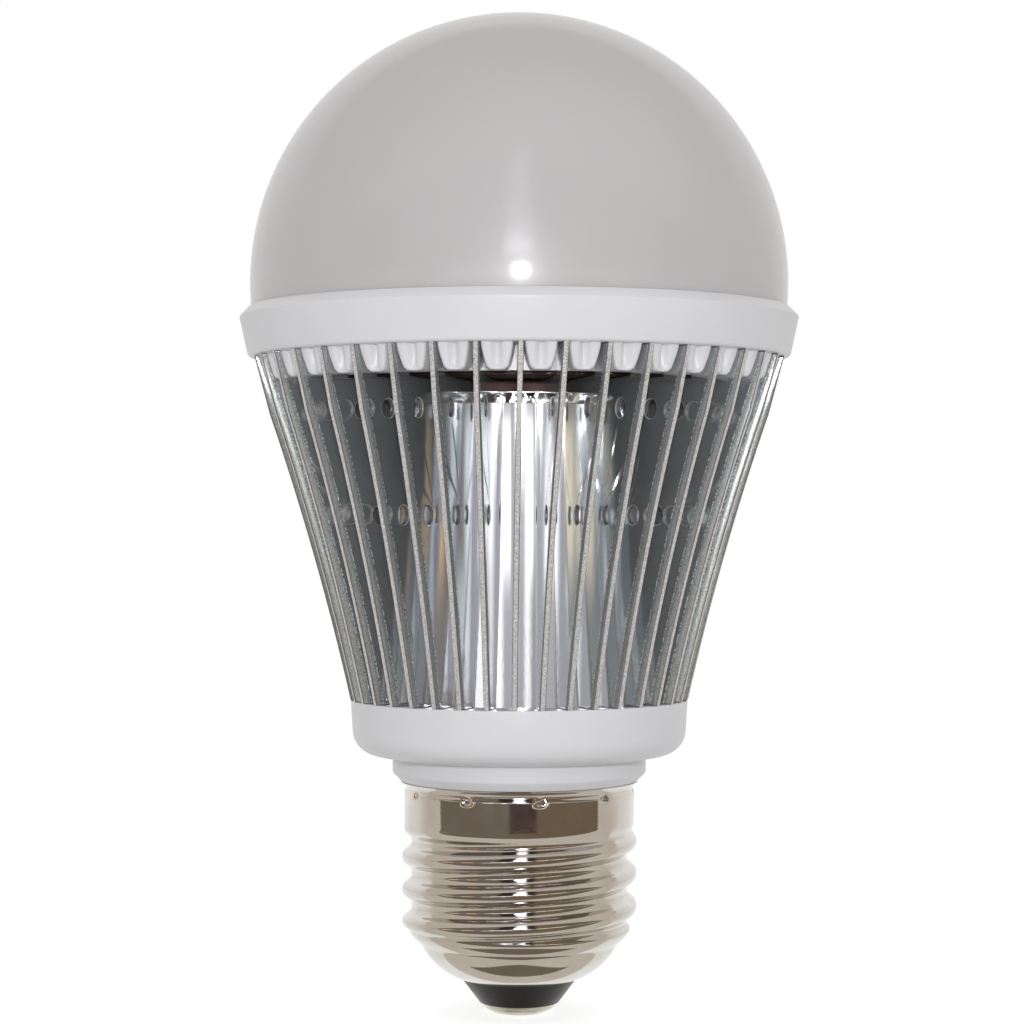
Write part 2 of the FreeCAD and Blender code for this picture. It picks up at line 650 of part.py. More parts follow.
def make_fins():
    """The fins: one stamped outline with two air holes, set round the core."""
    outline = doc.addObject("Sketcher::SketchObject", "fin_outline")
    outline.Placement = FreeCAD.Placement(Vector(0, 0, 0), Rotation(Vector(1, 0, 0), 90))
    notch = comb_wall_radius + s.comb_gap
    shoulder = ring_foot - s.fin_shoulder_drop
    draw_outline(outline, [
        (fin_root, collar_top), (fin_foot_radius, collar_top, s.fin_hollow_radius, 1),
        (fin_shoulder_radius, shoulder), (fin_top_radius, ring_foot), (notch, ring_foot),
        (notch, plate_foot), (fin_root, plate_foot)])
    draw_circle(outline, high_hole_reach, ring_foot - s.high_hole_drop, s.fin_hole_radius)
    draw_circle(outline, low_hole_reach, ring_foot - s.low_hole_drop, s.fin_hole_radius)
    fins = []
    count = int(s.fin_count.value)
    for i in range(count):
        fin = doc.addObject("Part::Extrusion", f"fin_{i + 1:02d}")
        fin.Label = fin.Name
        fin.Base = outline
        fin.DirMode = "Custom"
        fin.Dir = Vector(0, 1, 0)
        fin.Solid = True
        fin.setExpression("LengthFwd", (s.fin_thickness / 2).text)
        fin.setExpression("LengthRev", (s.fin_thickness / 2).text)
        fin.Placement = FreeCAD.Placement(Vector(0, 0, 0), Rotation(UP, 360 / count * i - 90))
        fins.append(fin)
    return fins


def make_ring():
    """The top ring: the seat of the globe, the lip that lies on the plate and the comb,
    whose fluted teeth hang between the fins in front of a thin back wall."""
    body = new_body("top_ring")
    shelf = ring_foot + s.ring_shelf_rise
    seat_radius = leg(s.globe_radius, s.globe_rise) + s.globe_gap
    revolve(body, "rim", [
        (comb_bore, ring_foot - s.comb_wall_depth),
        (comb_wall_radius, ring_foot - s.comb_wall_depth), (comb_wall_radius, ring_foot),
        (ring_foot_radius - s.ring_foot_round, ring_foot, s.ring_foot_round, -1),
        (ring_foot_radius, ring_foot + s.ring_foot_round),
        (brim_radius, brim_level), (seat_radius, ring_top), (seat_radius, globe_seat),
        (seat_radius - s.ring_seat_width, globe_seat), (seat_radius - s.ring_seat_width, shelf),
        (ring_lip_radius, shelf), (ring_lip_radius, plate_top), (comb_bore, plate_top)])
    tooth = new_sketch(body, "tooth_outline", "XZ_Plane", comb_wall_radius - s.comb_gap)
    half, hip, tip = s.tooth_width / 2, s.tooth_hip_width / 2, s.tooth_tip_width / 2
    sunk, straight = ring_foot + s.comb_gap, ring_foot - s.tooth_straight
    end = ring_foot - s.tooth_depth
    draw_outline(tooth, [
        (-half, sunk), (-half, straight), (-hip, end + s.tooth_hip_rise), (-tip, end),
        (tip, end), (hip, end + s.tooth_hip_rise), (half, straight), (half, sunk)])
    teeth = raise_pad(body, "tooth", tooth, tooth_reach - comb_wall_radius + s.comb_gap)
    flute = new_sketch(body, "flute_outline", "XY_Plane", ring_foot)
    mouth, floor = s.flute_width / 2, s.flute_floor_width / 2
    draw_outline(flute, [
        (-mouth, -tooth_reach), (mouth, -tooth_reach),
        (floor, -(tooth_reach - s.flute_depth)), (-floor, -(tooth_reach - s.flute_depth))])
    flutes = sink_pocket(body, "flute", flute, s.tooth_depth - s.flute_foot)
    repeat_round(body, "comb", [teeth, flutes], s.fin_count)
    half_gap = 180 / s.fin_count.value
    body.Placement = FreeCAD.Placement(Vector(0, 0, 0), Rotation(UP, half_gap))
    return body


def make_globe():
    """The opal globe: rather more than half a sphere, with an even wall."""
    body = new_body("globe")
    drop = globe_centre - globe_seat
    inner = s.globe_radius - s.globe_wall
    revolve(body, "dome", [
        (0, globe_centre + inner, inner, 1), (leg(inner, drop), globe_seat),
        (leg(s.globe_radius, drop), globe_seat, s.globe_radius, -1),
        (0, globe_centre + s.globe_radius)])
    return body


def make_light_board():
    """The round board that carries the light chips."""
    body = new_body("light_board")
    outline = new_sketch(body, "board_outline", "XY_Plane", plate_top)
    draw_circle(outline, 0, 0, board_radius)
    for degrees in WIRE_ANGLES:
        draw_circle(outline, *around(s.wire_spread, degrees), wire_hole)
    for degrees in BOARD_SCREW_ANGLES:
        across, along = around(board_screw_circle, degrees)
        draw_circle(outline, across, along, s.board_screw_radius + s.screw_gap * 2)
    raise_pad(body, "disc_of_board", outline, s.board_thickness)
    return body


def make_chips():
    """The light chips: one in the middle and six round it, each with a low lens."""
    chips = []
    ring_chips = 6
    places = [(as_size(0), as_size(0))]
    places += [around(chip_circle, 360 / ring_chips * i + 30) for i in range(ring_chips)]
    for i, (across, depth) in enumerate(places, start=1):
        case = block(f"chip_case_{i}", s.chip_width, s.chip_width, s.chip_height,
                     across, depth, board_top)
        lens = doc.addObject("Part::Cone", f"chip_lens_{i}")
        lens.setExpression("Radius1", s.chip_lens_radius.text)
        lens.setExpression("Radius2", (s.chip_lens_radius / 2).text)
        lens.setExpression("Height", s.chip_lens_height.text)
        place(lens, across, depth, board_top + s.chip_height)
        chips.append(joined(f"chip_{i}", [case, lens]))
    return group("light_chips", chips)


def make_screws(name, angles, circle, shank, head, length, seat):
    """A ring of like pan-head screws whose heads stand on seat."""
    screws = []
    for i, degrees in enumerate(angles, start=1):
        across, depth = around(circle, degrees)
        cap = cylinder(f"{name}_head_{i}", head, s.screw_head_height, across, depth, seat)
        stem = cylinder(f"{name}_shank_{i}", shank, length, across, depth, seat - length)
        screws.append(joined(f"{name}_{i}", [cap, stem]))
    return group(name, screws)


def make_driver_board():
    """The driver's board: wide in the sleeve and narrow in the socket."""
    body = new_body("driver_board")
    outline = new_sketch(body, "driver_outline", "XZ_Plane", -driver_face)
    wide = sleeve_bore - s.driver_edge_gap
    narrow = socket_bore - s.driver_edge_gap
    shoulder = corner_level + s.driver_edge_gap
    draw_outline(outline, [
        (-narrow, driver_foot), (narrow, driver_foot), (narrow, shoulder), (wide, shoulder),
        (wide, driver_top), (-wide, driver_top), (-wide, shoulder), (-narrow, shoulder)])
    raise_pad(body, "laminate", outline, s.driver_thickness)
    return body


def make_driver_parts():
    """What stands on the driver board, worked out upwards from the socket."""
    input_radius = (sleeve_bore - driver_face - s.input_can_gap) / 2
    output_radius = (socket_bore - driver_face - s.output_can_gap) / 2
    low_level = driver_foot + s.fuse_radius
    rectifier_level = low_level + s.fuse_length + s.fuse_radius
    high_level = collar_top + s.driver_edge_gap
    fuse = cylinder("fuse_resistor", s.fuse_radius, s.fuse_length,
                    0, driver_face + s.fuse_radius, low_level)
    rectifier = block("bridge_rectifier", s.rectifier_width, s.rectifier_depth,
                      s.rectifier_height, 0, driver_face + s.rectifier_depth / 2,
                      rectifier_level)
    output_can = cylinder("output_capacitor", output_radius, s.output_can_height,
                          0, -(driver_face + output_radius), low_level)
    input_can = cylinder("input_capacitor", input_radius, s.input_can_height,
                         0, -(driver_face + input_radius), high_level)
    transformer_depth = leg(sleeve_bore - s.transformer_gap,
                            s.transformer_width / 2) - driver_face
    middle = driver_face + transformer_depth / 2
    limbs = [block(f"transformer_limb_{i}", s.transformer_width, transformer_depth,
                   s.transformer_core, 0, middle, level)
             for i, level in enumerate((high_level, high_level + s.transformer_height
                                        - s.transformer_core), start=1)]
    winding = cylinder("transformer_winding", transformer_depth / 2, s.transformer_height,
                       0, middle, high_level)
    transformer = joined("transformer", limbs + [winding])
    return [fuse, rectifier, output_can, input_can, transformer]


def make_light_wires():
    """The two wires from the driver up through the lid and the plate."""
    wires = [cylinder(f"light_wire_{i}", s.wire_radius, board_top - driver_top + s.chip_height,
                      *around(s.wire_spread, degrees), driver_top)
             for i, degrees in enumerate(WIRE_ANGLES, start=1)]
    return group("light_wires", wires)


def make_contact_wire():
    """The straight wire from the driver down to the contact's rivet."""
    rivet_top = hole_level + s.flange_lift + s.insulator_flange_height + s.wire_gap
    return cylinder("contact_wire", s.wire_radius, driver_foot - rivet_top, 0, 0, rivet_top)


def make_shell_wire():
    """The wire that runs down from the driver and out to the shell under the housing."""
    reach, bend = shell_wire_reach.value, s.shell_wire_bend.value
    level = socket_foot.value - s.shell_wire_drop.value
    mean, throw = thread_form(level - s.wire_radius.value)
    end = mean - throw - s.shell_wall.value - s.screw_gap.value
    top = Vector(reach, 0, driver_foot.value)
    bend_start, bend_end = Vector(reach, 0, level + bend), Vector(reach + bend, 0, level)
    half = bend * (1 - math.sqrt(0.5))
    bend_middle = Vector(reach + half, 0, level + half)
    path = Part.Wire([Part.makeLine(top, bend_start),
                      Part.Arc(bend_start, bend_middle, bend_end).toShape(),
                      Part.makeLine(bend_end, Vector(end, 0, level))])
    section = Part.Wire(Part.Circle(top, UP, s.wire_radius.value).toShape())
    feature = doc.addObject("Part::Feature", "shell_wire")
    feature.Shape = path.makePipeShell([section], True, True)
    return feature


pieces = [
    make_contact(), make_insulator(), make_shell(), make_housing(), make_lid(), make_core(),
    make_ring(), make_globe(), make_light_board(), make_chips(),
    make_screws("board_screws", BOARD_SCREW_ANGLES, board_screw_circle,
                s.board_screw_radius, s.board_screw_head,
                s.board_thickness + s.board_screw_bite, board_top),
    make_screws("housing_screws", HOUSING_SCREW_ANGLES, housing_screw_circle,
                s.housing_screw_radius, s.housing_screw_head, s.housing_screw_length,
                plate_top - s.screw_head_height - s.wire_gap),
    make_driver_board(), make_light_wires(),
    group("mains_wires", [make_contact_wire(), make_shell_wire()]),
]
pieces += make_driver_parts()
pieces += make_fins()

doc.recompute()
failed = [o.Name for o in doc.Objects if "Invalid" in o.State or "Error" in o.State]
if failed:
    raise RuntimeError("features that failed: " + ", ".join(failed))
for piece in pieces:
    if piece.Shape.isNull() or not piece.Shape.isValid() or not piece.Shape.Solids:
        raise RuntimeError("no sound solid: " + piece.Label)

os.makedirs("parts", exist_ok=True)
for piece in pieces:
    piece.Shape.exportStep(f"parts/{piece.Label}.step")
    print(piece.Label, len(piece.Shape.Solids), round(piece.Shape.Volume, 2))
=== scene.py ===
import math

import bmesh
import bpy
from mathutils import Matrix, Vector, noise


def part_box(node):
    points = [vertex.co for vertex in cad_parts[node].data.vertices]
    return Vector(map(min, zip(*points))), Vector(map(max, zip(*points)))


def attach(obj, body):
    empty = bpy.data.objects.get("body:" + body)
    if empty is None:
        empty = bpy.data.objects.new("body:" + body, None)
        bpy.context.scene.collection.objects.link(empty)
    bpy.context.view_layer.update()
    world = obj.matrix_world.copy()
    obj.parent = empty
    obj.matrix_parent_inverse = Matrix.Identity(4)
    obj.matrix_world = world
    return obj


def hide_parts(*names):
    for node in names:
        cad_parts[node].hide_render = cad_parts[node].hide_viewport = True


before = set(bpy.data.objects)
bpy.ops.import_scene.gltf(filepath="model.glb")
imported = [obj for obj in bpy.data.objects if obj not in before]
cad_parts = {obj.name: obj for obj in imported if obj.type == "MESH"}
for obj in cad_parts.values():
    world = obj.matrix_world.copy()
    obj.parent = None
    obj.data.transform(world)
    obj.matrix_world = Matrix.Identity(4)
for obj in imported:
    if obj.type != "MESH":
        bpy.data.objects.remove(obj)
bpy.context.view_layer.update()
MM = 0.001

# The core of the heat sink is one bright turned aluminium piece: a tube that carries the
# plate under the light board, with a thin crumpled bead round it below the plate. The fins'
# roots go into its side, so the slots that hold them never show and aren't cut.


def new_mesh_object(name, mesh):
    """An object at the origin with a smooth mesh whose hard edges stay hard."""
    piece = bpy.data.objects.new(name, mesh)
    bpy.context.scene.collection.objects.link(piece)
    mesh.shade_smooth()
    mesh.set_sharp_from_angle(angle=math.radians(35))
    return piece


def new_material(name, colour, metallic, roughness):
    """A node material with its main numbers set; returns it with its nodes and links."""
    material = bpy.data.materials.new(name)
    material.use_nodes = True
    nodes, links = material.node_tree.nodes, material.node_tree.links
    shader = nodes["Principled BSDF"]
    shader.inputs["Base Color"].default_value = (*colour, 1)
    shader.inputs["Metallic"].default_value = metallic
    shader.inputs["Roughness"].default_value = roughness
    return material, nodes, links, shader


def add_noise(nodes, links, scale, detail, stretch=(1, 1, 1)):
    """Noise on object coordinates, stretched by the factors given."""
    coordinates = nodes.new("ShaderNodeTexCoord")
    mapping = nodes.new("ShaderNodeMapping")
    mapping.inputs["Scale"].default_value = stretch
    pattern = nodes.new("ShaderNodeTexNoise")
    pattern.inputs["Scale"].default_value = scale
    pattern.inputs["Detail"].default_value = detail
    links.new(coordinates.outputs["Object"], mapping.inputs["Vector"])
    links.new(mapping.outputs["Vector"], pattern.inputs["Vector"])
    return pattern.outputs["Fac"]


def object_axes(nodes, links):
    """The object coordinates of a place on the surface, whole and as X, Y and Z."""
    coordinates = nodes.new("ShaderNodeTexCoord")
    axes = nodes.new("ShaderNodeSeparateXYZ")
    links.new(coordinates.outputs["Object"], axes.inputs[0])
    return coordinates.outputs["Object"], axes.outputs


def calculate(nodes, links, operation, first, second=0.0):
    """A sum, product or the like of two sockets or numbers."""
    step = nodes.new("ShaderNodeMath")
    step.operation = operation
    for socket, value in zip(step.inputs, (first, second)):
        if isinstance(value, (int, float)):
            socket.default_value = value
        else:
            links.new(value, socket)
    return step.outputs[0]


def step_up(nodes, links, source, start, end):
    """0 on the side of start and 1 on the side of end, with an even slope between them."""
    ramp = nodes.new("ShaderNodeMapRange")
    ramp.inputs["From Min"].default_value = start
    ramp.inputs["From Max"].default_value = end
    links.new(source, ramp.inputs["Value"])
    return ramp.outputs["Result"]


def spread(nodes, links, source, low, high):
    """Maps a 0 to 1 pattern onto a range of numbers."""
    ramp = nodes.new("ShaderNodeMapRange")
    ramp.inputs["To Min"].default_value = low
    ramp.inputs["To Max"].default_value = high
    links.new(source, ramp.inputs["Value"])
    return ramp.outputs["Result"]


def tint(nodes, links, source, dark, light):
    """Maps a 0 to 1 pattern onto two colours."""
    ramp = nodes.new("ShaderNodeValToRGB")
    ramp.color_ramp.elements[0].color = (*dark, 1)
    ramp.color_ramp.elements[1].color = (*light, 1)
    ramp.color_ramp.elements[0].position = 0.3
    ramp.color_ramp.elements[1].position = 0.7
    links.new(source, ramp.inputs["Fac"])
    return ramp.outputs["Color"]


def add_bump(nodes, links, shader, height, distance, strength=1.0):
    """Bumps the shader by a height pattern, adding to a bump that is there already."""
    bump = nodes.new("ShaderNodeBump")
    bump.inputs["Distance"].default_value = distance
    bump.inputs["Strength"].default_value = strength
    links.new(height, bump.inputs["Height"])
    if shader.inputs["Normal"].links:
        links.new(shader.inputs["Normal"].links[0].from_socket, bump.inputs["Normal"])
    links.new(bump.outputs["Normal"], shader.inputs["Normal"])


def soften(corners, steps):
    """An outline whose corners (radius, height, rounding) are turned into arcs."""
    points = []
    for i, (across, up, rounding) in enumerate(corners):
        here = Vector((across, up))
        if rounding == 0:
            points.append(here)
            continue
        before = (Vector(corners[i - 1][:2]) - here).normalized()
        after = (Vector(corners[(i + 1) % len(corners)][:2]) - here).normalized()
        half = before.angle(after) / 2
        reach = rounding / math.tan(half)
        centre = here + (before + after).normalized() * (rounding / math.sin(half))
        start, end = here + before * reach - centre, here + after * reach - centre
        turn = start.angle_signed(end)
        for step in range(steps + 1):
            angle = -turn * step / steps
            points.append(centre + Vector((
                start.x * math.cos(angle) - start.y * math.sin(angle),
                start.x * math.sin(angle) + start.y * math.cos(angle))))
    return points


def close_build(build, name):
    """Turns a finished bmesh into a mesh whose faces all look outwards."""
    bmesh.ops.recalc_face_normals(build, faces=build.faces)
    mesh = bpy.data.meshes.new(name)
    build.to_mesh(mesh)
    build.free()
    return mesh


def lathe(name, outline, around=192):
    """A closed outline in the half plane, spun about the lamp's axis."""
    build = bmesh.new()
    rings = []
    for point in outline:
        if point[0] < 1e-7:
            rings.append([build.verts.new((0, 0, point[1]))])
        else:
            rings.append([build.verts.new((point[0] * math.cos(math.tau * k / around),
                                           point[0] * math.sin(math.tau * k / around),
                                           point[1])) for k in range(around)])
    for low, high in zip(rings, rings[1:] + rings[:1]):
        if len(low) == 1 and len(high) == 1:
            continue
        for k in range(around):
            after = (k + 1) % around
            corners = [low[k % len(low)], low[after % len(low)],
                       high[after % len(high)], high[k % len(high)]]
            build.faces.new(list(dict.fromkeys(corners)))
    return new_mesh_object(name, close_build(build, name))


def dress(piece, material, slot_name, *nodes):
    """Finishes a piece that stands for CAD nodes: its material and ride. Its slot name is not
    used.
    """
    piece.data.materials.clear()
    piece.data.materials.append(material)
    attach(piece, "root")
    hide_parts(*nodes)


core_low, core_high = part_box("sink_core")
core_radius, core_bore = 16.5 * MM, 14.5 * MM
plate_thickness, core_edge = 3.0 * MM, 0.15 * MM
plate_radius = core_high.x
plate_foot = core_high.z - plate_thickness
bead_swell, bead_foot, bead_height = 0.22 * MM, 67.1 * MM, 1.1 * MM
bead_rows = (0.08 * MM, 0.4 * MM, 0.7 * MM, 1.0 * MM)
crumpled_height, crumple_depth = 1.05 * MM, 0.12 * MM
dent_size, fine_dent_size, wave_size = 0.9 * MM, 0.35 * MM, 1.6 * MM

core_corners = [
    (core_bore, core_low.z, core_edge), (core_radius, core_low.z, 0), (core_radius, bead_foot, 0),
    *[(core_radius + bead_swell, bead_foot + row, 0) for row in bead_rows],
    (core_radius, bead_foot + bead_height, 0), (core_radius, plate_foot, 0),
    (plate_radius, plate_foot, core_edge), (plate_radius, core_high.z, core_edge),
    (0, core_high.z, 0), (0, plate_foot, 0), (core_bore, plate_foot, 0)]
core = lathe("sink_core_turned", soften(core_corners, 10), 360)
for vertex in core.data.vertices:
    reach = math.hypot(vertex.co.x, vertex.co.y)
    if reach > core_radius + bead_swell / 2 and vertex.co.z < bead_foot + crumpled_height:
        dents = noise.noise(vertex.co / dent_size) + 0.6 * noise.noise(vertex.co / fine_dent_size)
        vertex.co.xy *= 1 + crumple_depth * dents / reach
        vertex.co.z += crumple_depth * noise.noise(vertex.co / wave_size)

# The tube is bright up to the bead. The strip over the bead and the whole plate are painted dark
# brown and dull: painted shade under the plate.
turned_bright, painted_shade_brown = (0.88, 0.88, 0.87), (0.045, 0.03, 0.027)
dark_from, dark_fully = core_radius + 1.0 * MM, core_radius + 2.5 * MM
strip_from, strip_fully = bead_foot + bead_height, bead_foot + 1.25 * MM
scuffs_from, scuffs_fully = 48 * MM, 41 * MM

turned_core_with_painted_shade, nodes, links, shader = new_material("turned_with_painted_shade", turned_bright, 1, 0.15)
coordinates, axes = object_axes(nodes, links)
level_part = nodes.new("ShaderNodeVectorMath")
level_part.operation = "MULTIPLY"
level_part.inputs[1].default_value = (1, 1, 0)
links.new(coordinates, level_part.inputs[0])
part_length = nodes.new("ShaderNodeVectorMath")
part_length.operation = "LENGTH"
links.new(level_part.outputs["Vector"], part_length.inputs[0])
on_plate = step_up(nodes, links, part_length.outputs["Value"], dark_from, dark_fully)
over_bead = step_up(nodes, links, axes["Z"], strip_from, strip_fully)
painted_shade_part = calculate(nodes, links, "MAXIMUM", on_plate, over_bead)
lathe_lines = add_noise(nodes, links, 900, 3, (0.15, 0.15, 1))
rough_mix = nodes.new("ShaderNodeMix")
links.new(painted_shade_part, rough_mix.inputs["Factor"])
links.new(spread(nodes, links, lathe_lines, 0.04, 0.07), rough_mix.inputs["A"])
rough_mix.inputs["B"].default_value = 0.5
links.new(rough_mix.outputs["Result"], shader.inputs["Roughness"])
# Painted shade: over the bead and on the plate the colour turns from bright metal to dark brown
links.new(tint(nodes, links, painted_shade_part, turned_bright, painted_shade_brown),
          shader.inputs["Base Color"])
round_axis = nodes.new("ShaderNodeTangent")
round_axis.direction_type = "RADIAL"
round_axis.axis = "Z"
links.new(round_axis.outputs["Tangent"], shader.inputs["Tangent"])
shader.inputs["Anisotropic"].default_value = 0.3
shader.inputs["Anisotropic Rotation"].default_value = 0.25
add_bump(nodes, links, shader, add_noise(nodes, links, 180, 2), 0.01 * MM, 0.3)
scuffed = step_up(nodes, links, axes["Z"], scuffs_from, scuffs_fully)
scuffs = calculate(nodes, links, "MULTIPLY", add_noise(nodes, links, 2200, 2, (1, 1, 0.4)),
                   scuffed)
add_bump(nodes, links, shader, scuffs, 0.008 * MM, 0.5)
dress(core, turned_core_with_painted_shade, "core_aluminium", "sink_core")

# The fins are stamped from bright rolled aluminium sheet. Each has a hollow outer edge and
# two air holes, and is pressed into its slot. The punch leaves the edges grey and grainy.
fin_low, fin_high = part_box("fin_11")
fin_count = sum(name.startswith("fin_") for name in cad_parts)
fin_thickness, burr = 0.6 * MM, 0.13 * MM
fin_foot, fin_top = fin_low.z, fin_high.z
fin_root, notch_reach = 15.7 * MM, 25.55 * MM
fin_foot_reach, fin_top_reach = 18.8 * MM, 29.44 * MM
shoulder_reach, shoulder_drop = 27.75 * MM, 6.4 * MM
hollow_radius, hollow_steps = 300 * MM, 16
hole_radius, hole_steps = 1.0 * MM, 28
holes = [(23.6 * MM, 6.4 * MM), (20.9 * MM, 17.5 * MM)]


def arc_points(start, end, radius, count):
    """Points on the arc from start to end that hollows in to the left of the way."""
    start, end = Vector(start), Vector(end)
    chord = end - start
    left = Vector((-chord.y, chord.x)).normalized()
    centre = (start + end) / 2 - left * math.sqrt(radius ** 2 - (chord.length / 2) ** 2)
    first, turn = start - centre, (start - centre).angle_signed(end - centre)
    for step in range(1, count):
        angle = -turn * step / count
        yield centre + Vector((first.x * math.cos(angle) - first.y * math.sin(angle),
                               first.x * math.sin(angle) + first.y * math.cos(angle)))


shoulder = (shoulder_reach, fin_top - shoulder_drop)
fin_outline = [Vector((fin_root, fin_foot)), Vector((fin_foot_reach, fin_foot))]
fin_outline += arc_points((fin_foot_reach, fin_foot), shoulder, hollow_radius, hollow_steps)
fin_outline += [Vector(shoulder), Vector((fin_top_reach, fin_top)),
                Vector((notch_reach, fin_top)), Vector((notch_reach, plate_foot)),
                Vector((fin_root, plate_foot))]

plate_curve = bpy.data.curves.new("fin_plate", "CURVE")
plate_curve.dimensions = "2D"
plate_curve.fill_mode = "BOTH"
plate_curve.extrude = fin_thickness / 2 - burr
plate_curve.bevel_depth = burr
plate_curve.bevel_resolution = 2
plate_curve.offset = -burr
loops = [fin_outline]
for reach, drop in holes:
    turns = [-math.tau * k / hole_steps for k in range(hole_steps)]
    loops.append([Vector((reach + hole_radius * math.cos(turn),
                          fin_top - drop + hole_radius * math.sin(turn))) for turn in turns])
for loop in loops:
    spline = plate_curve.splines.new("POLY")
    spline.points.add(len(loop) - 1)
    for point, corner in zip(spline.points, loop):
        point.co = (*corner, 0, 1)
    spline.use_cyclic_u = True
fin_source = bpy.data.objects.new("fin_plate", plate_curve)
bpy.context.scene.collection.objects.link(fin_source)
bpy.context.view_layer.update()
fin_mesh = bpy.data.meshes.new_from_object(
    fin_source.evaluated_get(bpy.context.evaluated_depsgraph_get()))
bpy.data.objects.remove(fin_source)
bpy.data.curves.remove(plate_curve)

# The plate was drawn lying down: its drawing's y becomes height and its normal tangential.
# The press leaves every fin with the same slight twist from its foot to its top.
foot_twist, top_twist = math.radians(-1.5), math.radians(0.35)
for vertex in fin_mesh.vertices:
    across, up, side = vertex.co
    share = (up - fin_foot) / (fin_top - fin_foot)
    turn = foot_twist + (top_twist - foot_twist) * share
    vertex.co = (across * math.cos(turn) + side * math.sin(turn),
                 across * math.sin(turn) - side * math.cos(turn), up)

# The flat faces are plain and all others are sheared. Of these the roundings of the outer
# edge and the walls of the holes carry painted shade, as they turn away from the light or lie sunk
# in a hole, and the rest is bright.
sheared = fin_mesh.attributes.new("sheared", "FLOAT", "FACE")
shade = fin_mesh.attributes.new("shade", "FLOAT", "FACE")
for polygon in fin_mesh.polygons:
    across, up = polygon.center.x, polygon.center.z
    in_hole = any(math.hypot(across - reach, up - fin_top + drop) < hole_radius + 2 * burr
                  for reach, drop in holes)
    flat, square = abs(polygon.normal.y) > 0.97, abs(polygon.normal.y) < 0.3
    sheared.data[polygon.index].value = 0.0 if flat else 1.0
    shade.data[polygon.index].value = 1.0 if flat or square != in_hole else 0.2


def instance_round(name, source_mesh, count, first_degrees, material):
    """Sets copies of a mesh round the lamp's axis with Geometry Nodes and returns the
    plain mesh that they make."""
    carrier = new_mesh_object(name, source_mesh)
    tree = bpy.data.node_groups.new(name + "_round", "GeometryNodeTree")
    sockets = tree.interface
    sockets.new_socket("Geometry", in_out="INPUT", socket_type="NodeSocketGeometry")
    count_socket = sockets.new_socket("Count", in_out="INPUT", socket_type="NodeSocketInt")
    first_socket = sockets.new_socket("First angle", in_out="INPUT", socket_type="NodeSocketFloat")
    sockets.new_socket("Geometry", in_out="OUTPUT", socket_type="NodeSocketGeometry")
    given = tree.nodes.new("NodeGroupInput")
    result = tree.nodes.new("NodeGroupOutput")
    points = tree.nodes.new("GeometryNodePoints")
    instances = tree.nodes.new("GeometryNodeInstanceOnPoints")
    index = tree.nodes.new("GeometryNodeInputIndex")
    step = tree.nodes.new("ShaderNodeMath")
    step.operation = "DIVIDE"
    step.inputs[0].default_value = math.tau
    turn = tree.nodes.new("ShaderNodeMath")
    turn.operation = "MULTIPLY_ADD"
    turned = tree.nodes.new("ShaderNodeCombineXYZ")
    real = tree.nodes.new("GeometryNodeRealizeInstances")
    paint = tree.nodes.new("GeometryNodeSetMaterial")
    paint.inputs["Material"].default_value = material
    link = tree.links.new
    link(given.outputs["Count"], points.inputs["Count"])
    link(given.outputs["Count"], step.inputs[1])
    link(index.outputs[0], turn.inputs[0])
    link(step.outputs[0], turn.inputs[1])
    link(given.outputs["First angle"], turn.inputs[2])
    link(turn.outputs[0], turned.inputs["Z"])
    link(points.outputs[0], instances.inputs["Points"])
    link(given.outputs["Geometry"], instances.inputs["Instance"])
    link(turned.outputs[0], instances.inputs["Rotation"])
    link(instances.outputs[0], real.inputs[0])
    link(real.outputs[0], paint.inputs["Geometry"])
    link(paint.outputs[0], result.inputs[0])
    modifier = carrier.modifiers.new("round", "NODES")
    modifier.node_group = tree
    modifier[count_socket.identifier] = count
    modifier[first_socket.identifier] = math.radians(first_degrees)
    bpy.context.view_layer.update()
    mesh = bpy.data.meshes.new_from_object(
        carrier.evaluated_get(bpy.context.evaluated_depsgraph_get()))
    bpy.data.objects.remove(carrier)
    return mesh


def mix_colour(nodes, links, factor, first, second):
    """Two colours, given as values or sockets, mixed by a factor."""
    mixed = nodes.new("ShaderNodeMix")
    mixed.data_type = "RGBA"
    links.new(factor, mixed.inputs["Factor"])
    for name, value in (("A", first), ("B", second)):
        socket = next(s for s in mixed.inputs if s.name == name and s.type == "RGBA")
        if isinstance(value, tuple):
            socket.default_value = (*value, 1)
        else:
            links.new(value, socket)
    return next(s for s in mixed.outputs if s.type == "RGBA")


def face_mark(nodes, name):
    """A number that the mesh carries on its faces."""
    mark = nodes.new("ShaderNodeAttribute")
    mark.attribute_name = name
    return mark.outputs["Fac"]


sheet_colour, sheet_shine = (0.745, 0.77, 0.79), 0.86
pressed_dark, pressed_pale = (0.30, 0.32, 0.32), (0.74, 0.76, 0.75)
sheared_dark, sheared_pale = (0.42, 0.42, 0.42), (0.98, 0.98, 0.96)
rounding_painted_shade = (0.05, 0.05, 0.07)
sheet_metal, nodes, links, shader = new_material("rolled_sheet", sheet_colour, sheet_shine, 0.1)

# The distance in from the hollow outer edge, which is taken as a parabola over the height
edge_slope, edge_bow = 0.22454, 1.8745
axes = object_axes(nodes, links)[1]
east = calculate(nodes, links, "POWER", axes["X"], 2.0)
north = calculate(nodes, links, "POWER", axes["Y"], 2.0)
from_axis = calculate(nodes, links, "SQRT", calculate(nodes, links, "ADD", east, north))
rise = calculate(nodes, links, "SUBTRACT", axes["Z"], fin_foot)
bow = calculate(nodes, links, "MULTIPLY", calculate(nodes, links, "POWER", rise, 2.0), edge_bow)
edge_reach = calculate(nodes, links, "ADD", calculate(nodes, links, "MULTIPLY", rise, edge_slope),
                       calculate(nodes, links, "ADD", bow, fin_foot_reach))
inward = calculate(nodes, links, "SUBTRACT", edge_reach, from_axis)

